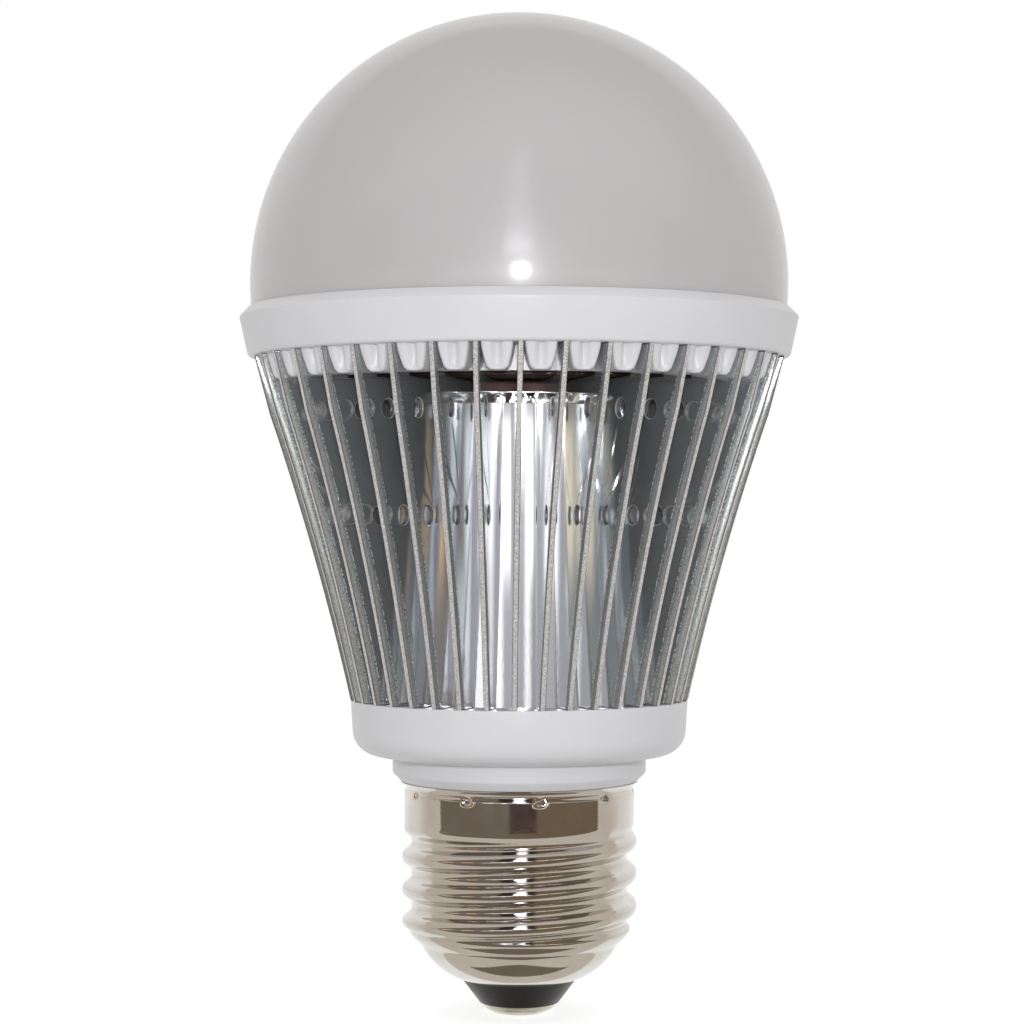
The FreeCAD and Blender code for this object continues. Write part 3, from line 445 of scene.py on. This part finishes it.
# The punch leaves a speckled zone along that edge, and a dotted pale line on its inner side
zone_width, draw_in = 0.9 * MM, 0.19 * MM
line_inset, line_half_width = 0.95 * MM, 0.075 * MM
zone = calculate(nodes, links, "LESS_THAN", inward, zone_width)
line = calculate(nodes, links, "COMPARE", inward, line_inset)
line.node.inputs[2].default_value = line_half_width
dots = step_up(nodes, links, add_noise(nodes, links, 5000, 1), 0.48, 0.55)
pale_line = calculate(nodes, links, "MULTIPLY", line, dots)

# The two faces are drawn in towards the edge, more and more over the zone
depth = step_up(nodes, links, inward, zone_width, 0.0)
flush = calculate(nodes, links, "SUBTRACT", 1.0, calculate(nodes, links, "POWER", depth, 2.0))

marked = calculate(nodes, links, "MAXIMUM", face_mark(nodes, "sheared"), pale_line)
dulled = calculate(nodes, links, "MAXIMUM", marked,
                   calculate(nodes, links, "MULTIPLY", zone, 0.45))
grain = add_noise(nodes, links, 6800, 2)
rolling = add_noise(nodes, links, 500, 2, (1, 1, 0.08))
links.new(calculate(nodes, links, "ADD", spread(nodes, links, rolling, 0.06, 0.09),
                    calculate(nodes, links, "MULTIPLY", dulled, 0.36)),
          shader.inputs["Roughness"])
grainy = tint(nodes, links, grain, sheared_dark, sheared_pale)
# Painted shade: where the shade mark is low, on the roundings and hole walls, the edge takes a
# near black
edge_colour = mix_colour(nodes, links, face_mark(nodes, "shade"), rounding_painted_shade, grainy)
pressed = tint(nodes, links, grain, pressed_dark, pressed_pale)
face_colour = mix_colour(nodes, links, zone, sheet_colour, pressed)
links.new(mix_colour(nodes, links, marked, face_colour, edge_colour),
          shader.inputs["Base Color"])
face_shine = calculate(nodes, links, "SUBTRACT", sheet_shine,
                       calculate(nodes, links, "MULTIPLY", zone, 0.2))
links.new(calculate(nodes, links, "MINIMUM", face_shine, spread(nodes, links, marked, 1.0, 0.42)),
          shader.inputs["Metallic"])
add_bump(nodes, links, shader, flush, draw_in)
add_bump(nodes, links, shader, calculate(nodes, links, "MULTIPLY", grain, dulled), 0.03 * MM, 0.6)

fins = new_mesh_object("fins", instance_round("fin_sheets", fin_mesh, fin_count, -90,
                                              sheet_metal))
fins.data.set_sharp_from_angle(angle=math.radians(30))
dress(fins, sheet_metal, "fin_aluminium",
      *sorted(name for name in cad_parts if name.startswith("fin_")))

# The driver housing is one white moulding. Its collar carries the fins' feet, its neck
# stands on the cap's lip, and its sleeve and socket hold the driver inside.
housing_low, housing_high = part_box("driver_housing")
collar_reach, collar_top = housing_high.x, core_low.z
collar_drop, collar_draft = 2.75 * MM, 0.35 * MM
neck_reach, neck_chamfer, neck_foot = 14.1 * MM, 1.0 * MM, 25.8 * MM
neck_top, underside_rise = 28.6 * MM, 0.5 * MM
sleeve_reach, sleeve_bore = 14.4 * MM, 12.9 * MM
socket_reach, socket_bore = 11.5 * MM, 10.2 * MM

housing_corners = [
    (socket_bore, housing_low.z, 0.3 * MM), (socket_reach, housing_low.z, 0.3 * MM),
    (socket_reach, neck_foot, 0), (neck_reach - neck_chamfer, neck_foot, 0.3 * MM),
    (neck_reach, neck_foot + neck_chamfer, 0.5 * MM), (neck_reach, neck_top, 0.25 * MM),
    (collar_reach - collar_draft, neck_top + underside_rise, 2.7 * MM),
    (collar_reach, collar_top, 0.12 * MM), (sleeve_reach, collar_top, 0),
    (sleeve_reach, housing_high.z, 0.2 * MM), (sleeve_bore, housing_high.z, 0.2 * MM),
    (sleeve_bore, collar_top - collar_drop, 0),
    (socket_bore, collar_top - collar_drop - (sleeve_bore - socket_bore), 0)]
housing = lathe("driver_housing_moulding", soften(housing_corners, 10))

white_plastic, nodes, links, shader = new_material("white_moulding", (0.79, 0.785, 0.80), 0, 0.3)
mottle = add_noise(nodes, links, 120, 3)
links.new(tint(nodes, links, mottle, (0.775, 0.77, 0.785), (0.80, 0.795, 0.81)),
          shader.inputs["Base Color"])
links.new(spread(nodes, links, add_noise(nodes, links, 700, 3), 0.27, 0.36),
          shader.inputs["Roughness"])
add_bump(nodes, links, shader, add_noise(nodes, links, 1800, 2), 0.01 * MM, 0.25)
shader.inputs["Subsurface Weight"].default_value = 0.15
shader.inputs["Subsurface Radius"].default_value = (0.002, 0.0018, 0.0018)
shader.inputs["Specular IOR Level"].default_value = 0.45
dress(housing, white_plastic, "white_plastic", "driver_housing")

# The screw shell is thin sheet, rolled to the right-hand cap thread and nickel plated. A
# ring of punched stakes under its flared lip bites into the housing and holds it there.
shell_wall = 0.3 * MM
hole_reach, hole_level = 6.5 * MM, 3.85 * MM
bowl_reach, bowl_top, bowl_round = 11.0 * MM, 7.8 * MM, 7.6 * MM
thread_top, thread_pitch = 21.3 * MM, 3.629 * MM
thread_mean, thread_throw, thread_arc = 12.54 * MM, 0.55 * MM, 1.03 * MM
thread_phase = 19.2 * MM
lead_in, lead_delay, run_out = 2.3 * MM, 1.1, 2.2 * MM
skirt_reach, waist_level, waist_depth = 12.8 * MM, 25.1 * MM, 0.15 * MM
lip_reach, lip_level, lip_curl = 13.2 * MM, 25.8 * MM, 1.5
stake_count, stake_level, stake_first = 10, 24.6 * MM, 10.0
stake_radius, stake_depth = 0.42 * MM, 0.3 * MM
shell_around, inner_skip = 240, 4
thread_rows, skirt_rows = 96, 44
outer_bowl_rows, inner_bowl_rows = 14, 6


def ease(share):
    """Goes from 0 to 1 with level ends."""
    share = min(max(share, 0.0), 1.0)
    return share * share * (3 - 2 * share)


def thread_wave(turn):
    """The thread's section over one turn: equal crest and root arcs, 1 at a crest."""
    along = (turn / math.tau + 0.25) % 1.0 * 2
    crest = along < 1.0
    offset = ((along if crest else along - 1.0) - 0.5) * thread_pitch / 2
    rise = math.sqrt(thread_arc ** 2 - offset ** 2)
    flank = math.sqrt(thread_arc ** 2 - (thread_pitch / 4) ** 2)
    height = (rise - flank) / (thread_arc - flank)
    return height if crest else -height


def shell_reach(angle, level):
    """The outer radius of the shell at a direction and a height above the bowl."""
    if level >= thread_top:
        if level <= stake_level:
            return skirt_reach
        waist_reach = skirt_reach - waist_depth
        if level <= waist_level:
            share = (level - stake_level) / (waist_level - stake_level)
            return skirt_reach - waist_depth * ease(share)
        share = (level - waist_level) / (lip_level - waist_level)
        return waist_reach + (lip_reach - skirt_reach + waist_depth) * share ** lip_curl
    start = min((level - bowl_top) / lead_in, 1.0)
    grown = 1 - (1 - start) ** 2
    fading = ease((thread_top - level) / run_out)
    mean = thread_mean - (thread_mean - bowl_reach) * (1 - grown)
    mean += (skirt_reach - thread_mean) * (1 - fading)
    turn = angle - math.tau * (level - thread_phase) / thread_pitch
    begun = ease(2 * (level - bowl_top) / lead_in - lead_delay)
    return mean + thread_throw * min(begun, fading) * thread_wave(turn)


def stake_push(angle, level):
    """How far the punched stakes draw the wall in at a place."""
    push = 0.0
    for k in range(stake_count):
        centre = math.radians(stake_first - 90) + math.tau * k / stake_count
        sideways = math.remainder(angle - centre, math.tau) * skirt_reach
        distance = math.hypot(sideways, level - stake_level) / stake_radius
        if distance < 3:
            push += stake_depth * math.exp(-distance ** 4)
    return push


def bowl_points(inset, count):
    """The bowl's arc from the hole up to the thread, drawn in by inset."""
    low, high = Vector((hole_reach, hole_level)), Vector((bowl_reach, bowl_top))
    chord = high - low
    centre = (low + high) / 2 + Vector((-chord.y, chord.x)).normalized() * math.sqrt(
        bowl_round ** 2 - (chord.length / 2) ** 2)
    radius = bowl_round - inset
    first = math.asin((hole_reach - centre.x) / radius)
    last = math.acos((centre.y - bowl_top) / radius)
    for k in range(count + 1):
        turn = first + (last - first) * k / count
        yield centre.x + radius * math.sin(turn), centre.y - radius * math.cos(turn)


def shell_skin(build, inset, around, levels, bowl_steps):
    """One face of the shell's sheet as rings of vertices from the hole to the lip."""
    rings = []
    directions = [math.tau * k / around for k in range(around)]
    for reach, level in list(bowl_points(inset, bowl_steps))[:-1]:
        rings.append([build.verts.new((reach * math.cos(a), reach * math.sin(a), level))
                      for a in directions])
    for level in levels:
        ring = []
        for a in directions:
            reach = shell_reach(a, level) - inset - stake_push(a, level)
            ring.append(build.verts.new((reach * math.cos(a), reach * math.sin(a), level)))
        rings.append(ring)
    return rings


def bridge(build, low, high):
    """Faces between two rings of as many vertices."""
    for k in range(len(low)):
        after = (k + 1) % len(low)
        build.faces.new((low[k], low[after], high[after], high[k]))


build = bmesh.new()
thread_levels = [bowl_top + (thread_top - bowl_top) * k / thread_rows for k in range(thread_rows)]
skirt_levels = [thread_top + (lip_level - thread_top) * k / skirt_rows
                for k in range(skirt_rows + 1)]
outer_skin = shell_skin(build, 0, shell_around, thread_levels + skirt_levels, outer_bowl_rows)
inner_skin = shell_skin(build, shell_wall, shell_around,
                        thread_levels[::inner_skip] + skirt_levels[::inner_skip],
                        inner_bowl_rows)
for skin in (outer_skin, inner_skin):
    for low, high in zip(skin, skin[1:]):
        bridge(build, low, high)
bridge(build, outer_skin[0], inner_skin[0])
bridge(build, outer_skin[-1], inner_skin[-1])
shell = new_mesh_object("screw_shell_sheet", close_build(build, "screw_shell_sheet"))

nickel, nodes, links, shader = new_material("nickel_plate", (0.68, 0.655, 0.62), 1, 0.06)
stain = add_noise(nodes, links, 260, 4)
links.new(tint(nodes, links, stain, (0.64, 0.605, 0.56), (0.72, 0.70, 0.67)),
          shader.inputs["Base Color"])
links.new(spread(nodes, links, add_noise(nodes, links, 900, 3), 0.03, 0.09),
          shader.inputs["Roughness"])
add_bump(nodes, links, shader, add_noise(nodes, links, 420, 2), 0.02 * MM, 0.15)
add_bump(nodes, links, shader, add_noise(nodes, links, 3500, 1), 0.004 * MM, 0.3)
dress(shell, nickel, "nickel_shell", "screw_shell")

# The insulator is a black plug, pushed through the shell's hole from inside. The contact
# is a plated button riveted through it, with a slightly domed and dented face.
cone_low, cone_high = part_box("cap_insulator")
plug_bore, plug_end, plug_neck, plug_step = 1.5 * MM, 4.4 * MM, 6.45 * MM, 1.35 * MM
cone_corners = [
    (plug_bore, cone_low.z, 0), (plug_end, cone_low.z, 0.12 * MM),
    (plug_neck, hole_level, 0.2 * MM), (plug_neck, hole_level + plug_step, 0),
    (cone_high.x, hole_level + plug_step, 0.15 * MM), (cone_high.x, cone_high.z, 0.15 * MM),
    (plug_bore, cone_high.z, 0)]
cone = lathe("cap_insulator_plug", soften(cone_corners, 6), 128)
black, nodes, links, shader = new_material("black_insulator", (0.016, 0.017, 0.018), 0, 0.32)
links.new(spread(nodes, links, add_noise(nodes, links, 800, 4), 0.25, 0.45),
          shader.inputs["Roughness"])
add_bump(nodes, links, shader, add_noise(nodes, links, 1500, 3), 0.01 * MM, 0.4)
dress(cone, black, "black_insulator", "cap_insulator")

button_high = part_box("centre_contact")[1]
face_reach, rim_set_in, rim_rise, rivet_reach = 2.6 * MM, 0.15 * MM, 0.62 * MM, 1.4 * MM
button_corners = [
    (0, 0, 0), (face_reach, 0, 1.6 * MM), (button_high.x - rim_set_in, rim_rise, 0.9 * MM),
    (button_high.x, cone_low.z, 0.05 * MM), (rivet_reach, cone_low.z, 0),
    (rivet_reach, button_high.z, 0.1 * MM), (0, button_high.z, 0)]
button = lathe("centre_contact_button", soften(button_corners, 8), 96)
pale_metal, nodes, links, shader = new_material("plated_contact", (0.66, 0.68, 0.58), 1, 0.4)
links.new(tint(nodes, links, add_noise(nodes, links, 500, 4), (0.66, 0.68, 0.57),
               (0.92, 0.94, 0.86)), shader.inputs["Base Color"])
links.new(spread(nodes, links, add_noise(nodes, links, 900, 3), 0.3, 0.55),
          shader.inputs["Roughness"])
add_bump(nodes, links, shader, add_noise(nodes, links, 700, 3), 0.06 * MM, 0.5)
dress(button, pale_metal, "contact_metal", "centre_contact")

# The driver sits inside the sleeve, under an insulating lid: a green board with its
# transformer, two sleeved capacitors, a rectifier and a fusible resistor, and the wires to
# the cap and to the light board. These pieces keep the shapes of the solids.


def finish_node(name, material):
    """Gives a CAD node that is right as it is its better material."""
    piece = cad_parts[name]
    piece.data.materials.clear()
    piece.data.materials.append(material)


def mottled(name, dark, light, roughness, scale=300):
    """A plain hidden finish: two near colours in soft patches, and a fine grain."""
    material, nodes, links, shader = new_material(name, light, 0, roughness)
    links.new(tint(nodes, links, add_noise(nodes, links, scale, 3), dark, light),
              shader.inputs["Base Color"])
    add_bump(nodes, links, shader, add_noise(nodes, links, scale * 6, 2), 0.01 * MM, 0.4)
    return material


hidden_finishes = [
    (["driver_board"], "green_laminate", (0.03, 0.16, 0.07), (0.05, 0.24, 0.11), 0.35),
    (["transformer"], "yellow_tape", (0.60, 0.44, 0.08), (0.72, 0.56, 0.14), 0.4),
    (["input_capacitor", "output_capacitor"], "capacitor_sleeve",
     (0.02, 0.025, 0.08), (0.04, 0.05, 0.13), 0.3),
    (["bridge_rectifier"], "moulded_black", (0.02, 0.02, 0.02), (0.04, 0.04, 0.04), 0.5),
    (["fuse_resistor"], "grey_coating", (0.22, 0.30, 0.34), (0.30, 0.38, 0.42), 0.6),
    (["light_wires"], "red_insulation", (0.38, 0.02, 0.02), (0.48, 0.04, 0.03), 0.4),
    (["mains_wires"], "black_insulation", (0.015, 0.015, 0.015), (0.03, 0.03, 0.03), 0.4),
    (["sleeve_lid"], "grey_sheet", (0.62, 0.61, 0.57), (0.74, 0.73, 0.69), 0.6)]
for names, finish, dark_tone, light_tone, roughness in hidden_finishes:
    material = mottled(finish, dark_tone, light_tone, roughness)
    for name in names:
        finish_node(name, material)

# The light board is a white-faced metal disc, screwed down on the core's plate, with seven
# yellow chips under the globe.
zinc, nodes, links, shader = new_material("zinc_screw", (0.62, 0.63, 0.64), 1, 0.3)
links.new(spread(nodes, links, add_noise(nodes, links, 1200, 3), 0.22, 0.4),
          shader.inputs["Roughness"])
finish_node("board_screws", zinc)
finish_node("housing_screws", zinc)
finish_node("light_board", mottled("white_mask", (0.80, 0.80, 0.79), (0.86, 0.86, 0.85), 0.35))
finish_node("light_chips", mottled("chip_phosphor", (0.80, 0.62, 0.10), (0.88, 0.74, 0.22),
                                   0.25, 900))

# The top ring is a white moulding that seats the globe and lies on the core's plate. Its
# comb reaches down between the fins: a back wall, and one fluted tooth in every gap.
ring_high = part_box("top_ring")[1]
ring_foot, ring_top = fin_top, ring_high.z
brim_rise, brim_reach = 4.4 * MM, 31.03 * MM
ring_foot_reach, shelf_rise = 30.07 * MM, 2.1 * MM
seat_reach, seat_depth, seat_width = 29.84 * MM, 2.2 * MM, 2.64 * MM
ring_bore = 22.0 * MM
wall_reach, wall_bore, wall_depth = 25.5 * MM, 24.0 * MM, 2.75 * MM

ring_corners = [
    (wall_bore, ring_foot - wall_depth, 0.2 * MM), (wall_reach, ring_foot - wall_depth, 0),
    (wall_reach, ring_foot, 0.2 * MM), (ring_foot_reach, ring_foot, 0.5 * MM),
    (brim_reach, ring_foot + brim_rise, 0.25 * MM), (seat_reach, ring_top, 0.12 * MM),
    (seat_reach, ring_top - seat_depth, 0), (seat_reach - seat_width, ring_top - seat_depth, 0),
    (seat_reach - seat_width, ring_foot + shelf_rise, 0), (ring_bore, ring_foot + shelf_rise, 0),
    (ring_bore, core_high.z, 0), (wall_bore, core_high.z, 0)]
ring = lathe("top_ring_rim", soften(ring_corners, 6), 240)

tooth_depth, tooth_reach = 2.8 * MM, 28.9 * MM
tooth_top_width, tooth_end_width, tooth_taper = 3.3 * MM, 2.0 * MM, 1.6
tooth_draft, tooth_round, tooth_closing = 0.75 * MM, 0.45 * MM, 0.84
tooth_corner, tooth_side, tooth_blunting = 0.28 * MM, 2 * MM, 0.6
tooth_root, tooth_sunk = 0.1 * MM, 0.05 * MM
flute_width, flute_depth, flute_fading = 1.5 * MM, 0.9 * MM, 0.75
tooth_shares = [0, 0.12, 0.24, 0.36, 0.48, 0.6, 0.7, 0.78, 0.84, 0.89, 0.93, 0.965, 0.99, 1.0]


def tooth_section(share):
    """One level of a tooth from the ring, at 0, to its end, at 1: half of its width, its
    reach and the depth of its flute."""
    width = tooth_top_width + (tooth_end_width - tooth_top_width) * share ** tooth_taper
    reach = tooth_reach - tooth_draft * share
    flute = flute_depth * (1 - flute_fading * share ** 2)
    close = max(0.0, (share - tooth_closing) / (1 - tooth_closing))
    shrink = tooth_round * (1 - math.sqrt(max(0.0, 1 - close ** 2)))
    return width / 2 - shrink, reach - shrink * tooth_blunting, flute * (1 - close)


def tooth_loop(share):
    """The tooth's outline at one level, seen from above, from back left to back right."""
    half, reach, flute = tooth_section(share)
    back, mouth = wall_reach - tooth_root, flute_width / 2
    corner = [(tooth_corner * (1 - math.cos(k / 4 * math.pi / 2)),
               tooth_corner * (1 - math.sin(k / 4 * math.pi / 2))) for k in range(5)]
    loop = [(-half, back), (-half, reach - tooth_side)]
    loop += [(-half + across, reach - inwards) for across, inwards in corner]
    for k in range(11):
        across = mouth * (k / 5 - 1)
        loop.append((across, reach - flute * (0.5 + 0.5 * math.cos(math.pi * across / mouth))))
    loop += [(half - across, reach - inwards) for across, inwards in reversed(corner)]
    loop += [(half, reach - tooth_side), (half, back)]
    return loop


build = bmesh.new()
tooth_rings = []
for share in tooth_shares:
    level = ring_foot + tooth_sunk - (tooth_depth + tooth_sunk) * share
    tooth_rings.append([build.verts.new((reach, across, level))
                        for across, reach in tooth_loop(share)])
for low, high in zip(tooth_rings, tooth_rings[1:]):
    bridge(build, low, high)
build.faces.new(tooth_rings[0])
build.faces.new(tooth_rings[-1])
tooth_mesh = close_build(build, "tooth")
half_gap = 180 / fin_count
teeth = instance_round("comb_teeth", tooth_mesh, fin_count, half_gap - 90, white_plastic)

joined = bmesh.new()
joined.from_mesh(ring.data)
joined.from_mesh(teeth)
joined.to_mesh(ring.data)
joined.free()
ring.data.shade_smooth()
ring.data.set_sharp_from_angle(angle=math.radians(40))
dress(ring, white_plastic, "white_plastic", "top_ring")

# The globe is blown opal plastic with an even wall, a little more than half a sphere. Its
# rim stands in the ring's seat. It spreads light, so its shaded sides stay pale.
globe_low, globe_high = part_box("globe")
globe_radius, globe_wall = 29.85 * MM, 2.0 * MM
globe_centre, globe_seat = globe_high.z - globe_radius, globe_low.z


def sphere_points(radius, count):
    """The globe's section from its rim up to the top of the axis."""
    lowest = math.asin((globe_seat - globe_centre) / radius)
    for k in range(count + 1):
        turn = lowest + (math.pi / 2 - lowest) * k / count
        yield Vector((radius * math.cos(turn), globe_centre + radius * math.sin(turn)))


outside = list(sphere_points(globe_radius, 72))
inside = list(sphere_points(globe_radius - globe_wall, 36))
outside[-1].x = inside[-1].x = 0
globe = lathe("globe_dome", outside + inside[::-1])

opal, nodes, links, shader = new_material("opal", (0.58, 0.565, 0.56), 0, 0.35)
cloud = add_noise(nodes, links, 35, 3)
links.new(tint(nodes, links, cloud, (0.565, 0.548, 0.547), (0.595, 0.58, 0.58)),
          shader.inputs["Base Color"])
links.new(spread(nodes, links, add_noise(nodes, links, 600, 2), 0.33, 0.37),
          shader.inputs["Roughness"])
add_bump(nodes, links, shader, add_noise(nodes, links, 2600, 2), 0.012 * MM, 0.35)
shader.inputs["Subsurface Weight"].default_value = 0.5
shader.inputs["Subsurface Radius"].default_value = (0.012, 0.011, 0.010)
shader.inputs["Specular IOR Level"].default_value = 0.35
shader.inputs["Coat Weight"].default_value = 0.6
shader.inputs["Coat Roughness"].default_value = 0.12
dress(globe, opal, "opal", "globe")

# The lamp stands on a pale floor before a white ground. What the metal reflects is a room:
# white sides and back, a brown wall behind the camera with pale and warm bands at about
# eye level, and a beige ceiling and table.
floor_half = 3.0
floor_glow, floor_glow_seen = 0.15, 0.75
floor_mesh = bpy.data.meshes.new("floor")
floor_mesh.from_pydata([(-floor_half, -floor_half, 0), (floor_half, -floor_half, 0),
                        (floor_half, floor_half, 0), (-floor_half, floor_half, 0)],
                       [], [(0, 1, 2, 3)])
floor = bpy.data.objects.new("floor", floor_mesh)
bpy.context.scene.collection.objects.link(floor)
floor_paint, nodes, links, shader = new_material("pale_floor", (0.5, 0.5, 0.5), 0, 0.9)
shader.inputs["Specular IOR Level"].default_value = 0
glow = nodes.new("ShaderNodeEmission")
both = nodes.new("ShaderNodeAddShader")
ray = nodes.new("ShaderNodeLightPath")
glow.inputs["Color"].default_value = (1, 1, 1, 1)
links.new(spread(nodes, links, ray.outputs["Is Camera Ray"], floor_glow, floor_glow_seen),
          glow.inputs["Strength"])
links.new(shader.outputs[0], both.inputs[0])
links.new(glow.outputs[0], both.inputs[1])
links.new(both.outputs[0], nodes["Material Output"].inputs["Surface"])
floor_mesh.materials.append(floor_paint)
floor.visible_glossy = False

world = bpy.data.worlds.new("studio")
bpy.context.scene.world = world
world.use_nodes = True
nodes, links = world.node_tree.nodes, world.node_tree.links
background = nodes["Background"]
way = nodes.new("ShaderNodeTexCoord")
way_axes = nodes.new("ShaderNodeSeparateXYZ")
links.new(way.outputs["Generated"], way_axes.inputs[0])
eastward, northward, height = way_axes.outputs

# The bearing runs from 0 at the back over 0.5 at the camera's side to 1 at the back again
backward = calculate(nodes, links, "MULTIPLY", northward, -1.0)
turned_way = calculate(nodes, links, "ADD", calculate(nodes, links, "DIVIDE", calculate(
    nodes, links, "ARCTAN2", eastward, backward), math.tau), 0.5)


def room_bands(stops):
    """Colours of the room by bearing, in degrees from the camera's side: from the back
    over the left, the camera's side and the right to the back again."""
    ramp = nodes.new("ShaderNodeValToRGB")
    ramp.color_ramp.interpolation = "LINEAR"
    elements = ramp.color_ramp.elements
    while len(elements) > 1:
        elements.remove(elements[-1])
    for i, (degrees, colour) in enumerate(stops):
        spot = elements[0] if i == 0 else elements.new(1.0)
        spot.position = (degrees + 180) / 360
        spot.color = (*colour, 1)
    links.new(turned_way, ramp.inputs["Fac"])
    return ramp.outputs["Color"]


white, pale, beige = (0.95, 0.95, 0.94), (0.86, 0.84, 0.80), (0.66, 0.60, 0.55)
brown, olive, dark = (0.195, 0.158, 0.128), (0.19, 0.145, 0.098), (0.075, 0.047, 0.043)
slate, dim, shadow = (0.30, 0.33, 0.35), (0.30, 0.26, 0.24), (0.05, 0.03, 0.026)
hot, lens, grey = (1.7, 1.7, 1.8), (0.45, 0.45, 0.49), (0.38, 0.38, 0.39)
amber, cream, clear = (1.6, 0.98, 0.50), (1.5, 1.3, 0.98), (1.1, 1.1, 1.15)
tan, everywhere = (0.62, 0.46, 0.28), (0.60, 0.60, 0.61)
ceiling, table_top, glare = (0.62, 0.56, 0.50), (0.64, 0.59, 0.53), (11.0, 11.0, 12.0)
left_side = [(-180, white), (-150, white), (-122, pale), (-104, beige), (-95, beige)]
right_side = [(95, beige), (104, beige), (122, pale), (150, white), (180, white)]
left_corner = left_side + [(-89, beige), (-88, brown)]
right_corner = [(88, olive), (89, beige)] + right_side
low_room = room_bands(left_corner + [(-11, brown), (-8, dark), (15, dark), (19, olive)]
                      + right_corner)
skirt_room = room_bands(left_corner + [(-10, brown), (10, olive)] + right_corner)
foot_room = room_bands(left_side + [
    (-92, slate), (-56, slate), (-50, dim), (-37, dim), (-35, clear), (-27, clear),
    (-25, grey), (-18, grey), (-16, hot), (-11, lens), (3, lens), (5, clear), (7, clear),
    (10, grey), (17, dim), (21, lens), (26, lens), (29, dim), (42, grey), (54, slate),
    (92, slate)] + right_side)
level_room = room_bands([
    (-180, white), (-104, beige), (-92, slate), (-81, slate), (-79, amber), (-69, amber),
    (-66, dim), (-59, dim), (-57, amber), (-47, amber), (-44, dim), (-29, dim), (-27, hot),
    (-7, hot), (-6, lens), (4, lens), (5, hot), (10, hot), (11.5, grey), (15, dim),
    (17, cream), (27, cream), (29, lens), (31, cream), (44, cream), (47, slate), (69, slate),
    (71, tan), (78, tan), (81, slate), (104, beige), (180, white)])
over_room = room_bands(left_side + [(-92, slate), (-22, slate), (-18, lens), (12, lens),
                                    (16, slate), (92, slate)] + right_side)
high_room = room_bands(left_corner + [(-25, brown), (-20, shadow), (13, shadow), (18, olive)]
                       + right_corner)

# From the lowest to the highest, each set of bands takes over between the two heights given
walls = skirt_room
for start, end, bands in ((-0.126, -0.12, low_room), (-0.086, -0.08, foot_room),
                          (-0.028, -0.012, level_room), (0.037, 0.039, over_room),
                          (0.0455, 0.0465, high_room)):
    walls = mix_colour(nodes, links, step_up(nodes, links, height, start, end), walls, bands)

# That wall is flat, so the ceiling and the table start at a rise over a reach. The table
# has a dark patch with the outline of a bent lens, which the bowl of the cap mirrors.
patch_curve, patch_edge, patch_inside = 1.1, 0.27, 0.25
reach_out = calculate(nodes, links, "MAXIMUM",
                      calculate(nodes, links, "ABSOLUTE", northward), 0.001)
slope = calculate(nodes, links, "DIVIDE", height, reach_out)
under_ceiling = mix_colour(nodes, links, step_up(nodes, links, slope, 1.0, 1.1), walls, ceiling)
aside = calculate(nodes, links, "POWER", calculate(nodes, links, "ABSOLUTE", eastward), 2.0)
bent = calculate(nodes, links, "SUBTRACT", northward, aside)
patch_shape = calculate(nodes, links, "ADD", calculate(nodes, links, "ABSOLUTE", bent),
                        calculate(nodes, links, "MULTIPLY", aside, patch_curve))
patch = calculate(nodes, links, "MULTIPLY",
                  step_up(nodes, links, patch_shape, patch_edge, patch_inside),
                  step_up(nodes, links, height, -0.78, -0.8))
table = mix_colour(nodes, links, patch, table_top, brown)
room = mix_colour(nodes, links, step_up(nodes, links, slope, -1.3, -1.2), table, under_ceiling)

# A tall narrow glare over the camera gives the globe the glow above its highlight
glare_low, glare_high = 0.8, 0.17
off_middle = calculate(nodes, links, "ABSOLUTE",
                       calculate(nodes, links, "SUBTRACT", turned_way, 0.5))
narrow = step_up(nodes, links, off_middle, 0.02, 0.009)
climb = calculate(nodes, links, "POWER", step_up(nodes, links, height, 0.5, 0.15), 2.5)
over_wall = step_up(nodes, links, height, 0.12, 0.17)
under_top = step_up(nodes, links, height, 0.82, 0.7)
flare = calculate(nodes, links, "ADD", calculate(nodes, links, "MULTIPLY", climb, glare_low),
                  calculate(nodes, links, "MULTIPLY", under_top, glare_high))
flare = calculate(nodes, links, "MULTIPLY", flare, over_wall)
flare = calculate(nodes, links, "MULTIPLY", flare, narrow)
room = mix_colour(nodes, links, flare, room, glare)

# Reflections see the room, all other light is even, and the camera sees a white ground
paths = nodes.new("ShaderNodeLightPath")
gloss = mix_colour(nodes, links, paths.outputs["Is Glossy Ray"], everywhere, room)
seen = mix_colour(nodes, links, paths.outputs["Is Camera Ray"], gloss, (1.0, 1.0, 1.0))
links.new(seen, background.inputs["Color"])

# One small hard light stands just over the camera, which looks level at the middle of the
# lamp's height. The shifts put the lamp where it stands in the picture.
camera_place, flash_offset = Vector((0, -0.292, 0.055)), Vector((0.0035, 0, 0.029))
picture_width, focal_length, sensor_width = 1024, 2619, 36
shift_right, shift_up = -7.2, 6
flash_data = bpy.data.lights.new("flash", "AREA")
flash_data.shape = "RECTANGLE"
flash_data.size, flash_data.size_y = 0.022, 0.014
flash_data.energy = 0.275
flash = bpy.data.objects.new("flash", flash_data)
bpy.context.scene.collection.objects.link(flash)
flash.location = camera_place + flash_offset
flash.rotation_euler = (math.radians(90), 0, 0)

camera_data = bpy.data.cameras.new("camera")
camera_data.sensor_width = sensor_width
camera_data.lens = sensor_width * focal_length / picture_width
camera_data.shift_x = shift_right / picture_width
camera_data.shift_y = shift_up / picture_width
camera_data.clip_start, camera_data.clip_end = 0.01, 20
camera = bpy.data.objects.new("camera", camera_data)
bpy.context.scene.collection.objects.link(camera)
camera.location = camera_place
camera.rotation_euler = (math.radians(90), 0, 0)
bpy.context.scene.camera = camera
bpy.context.scene.view_settings.view_transform = "Standard"
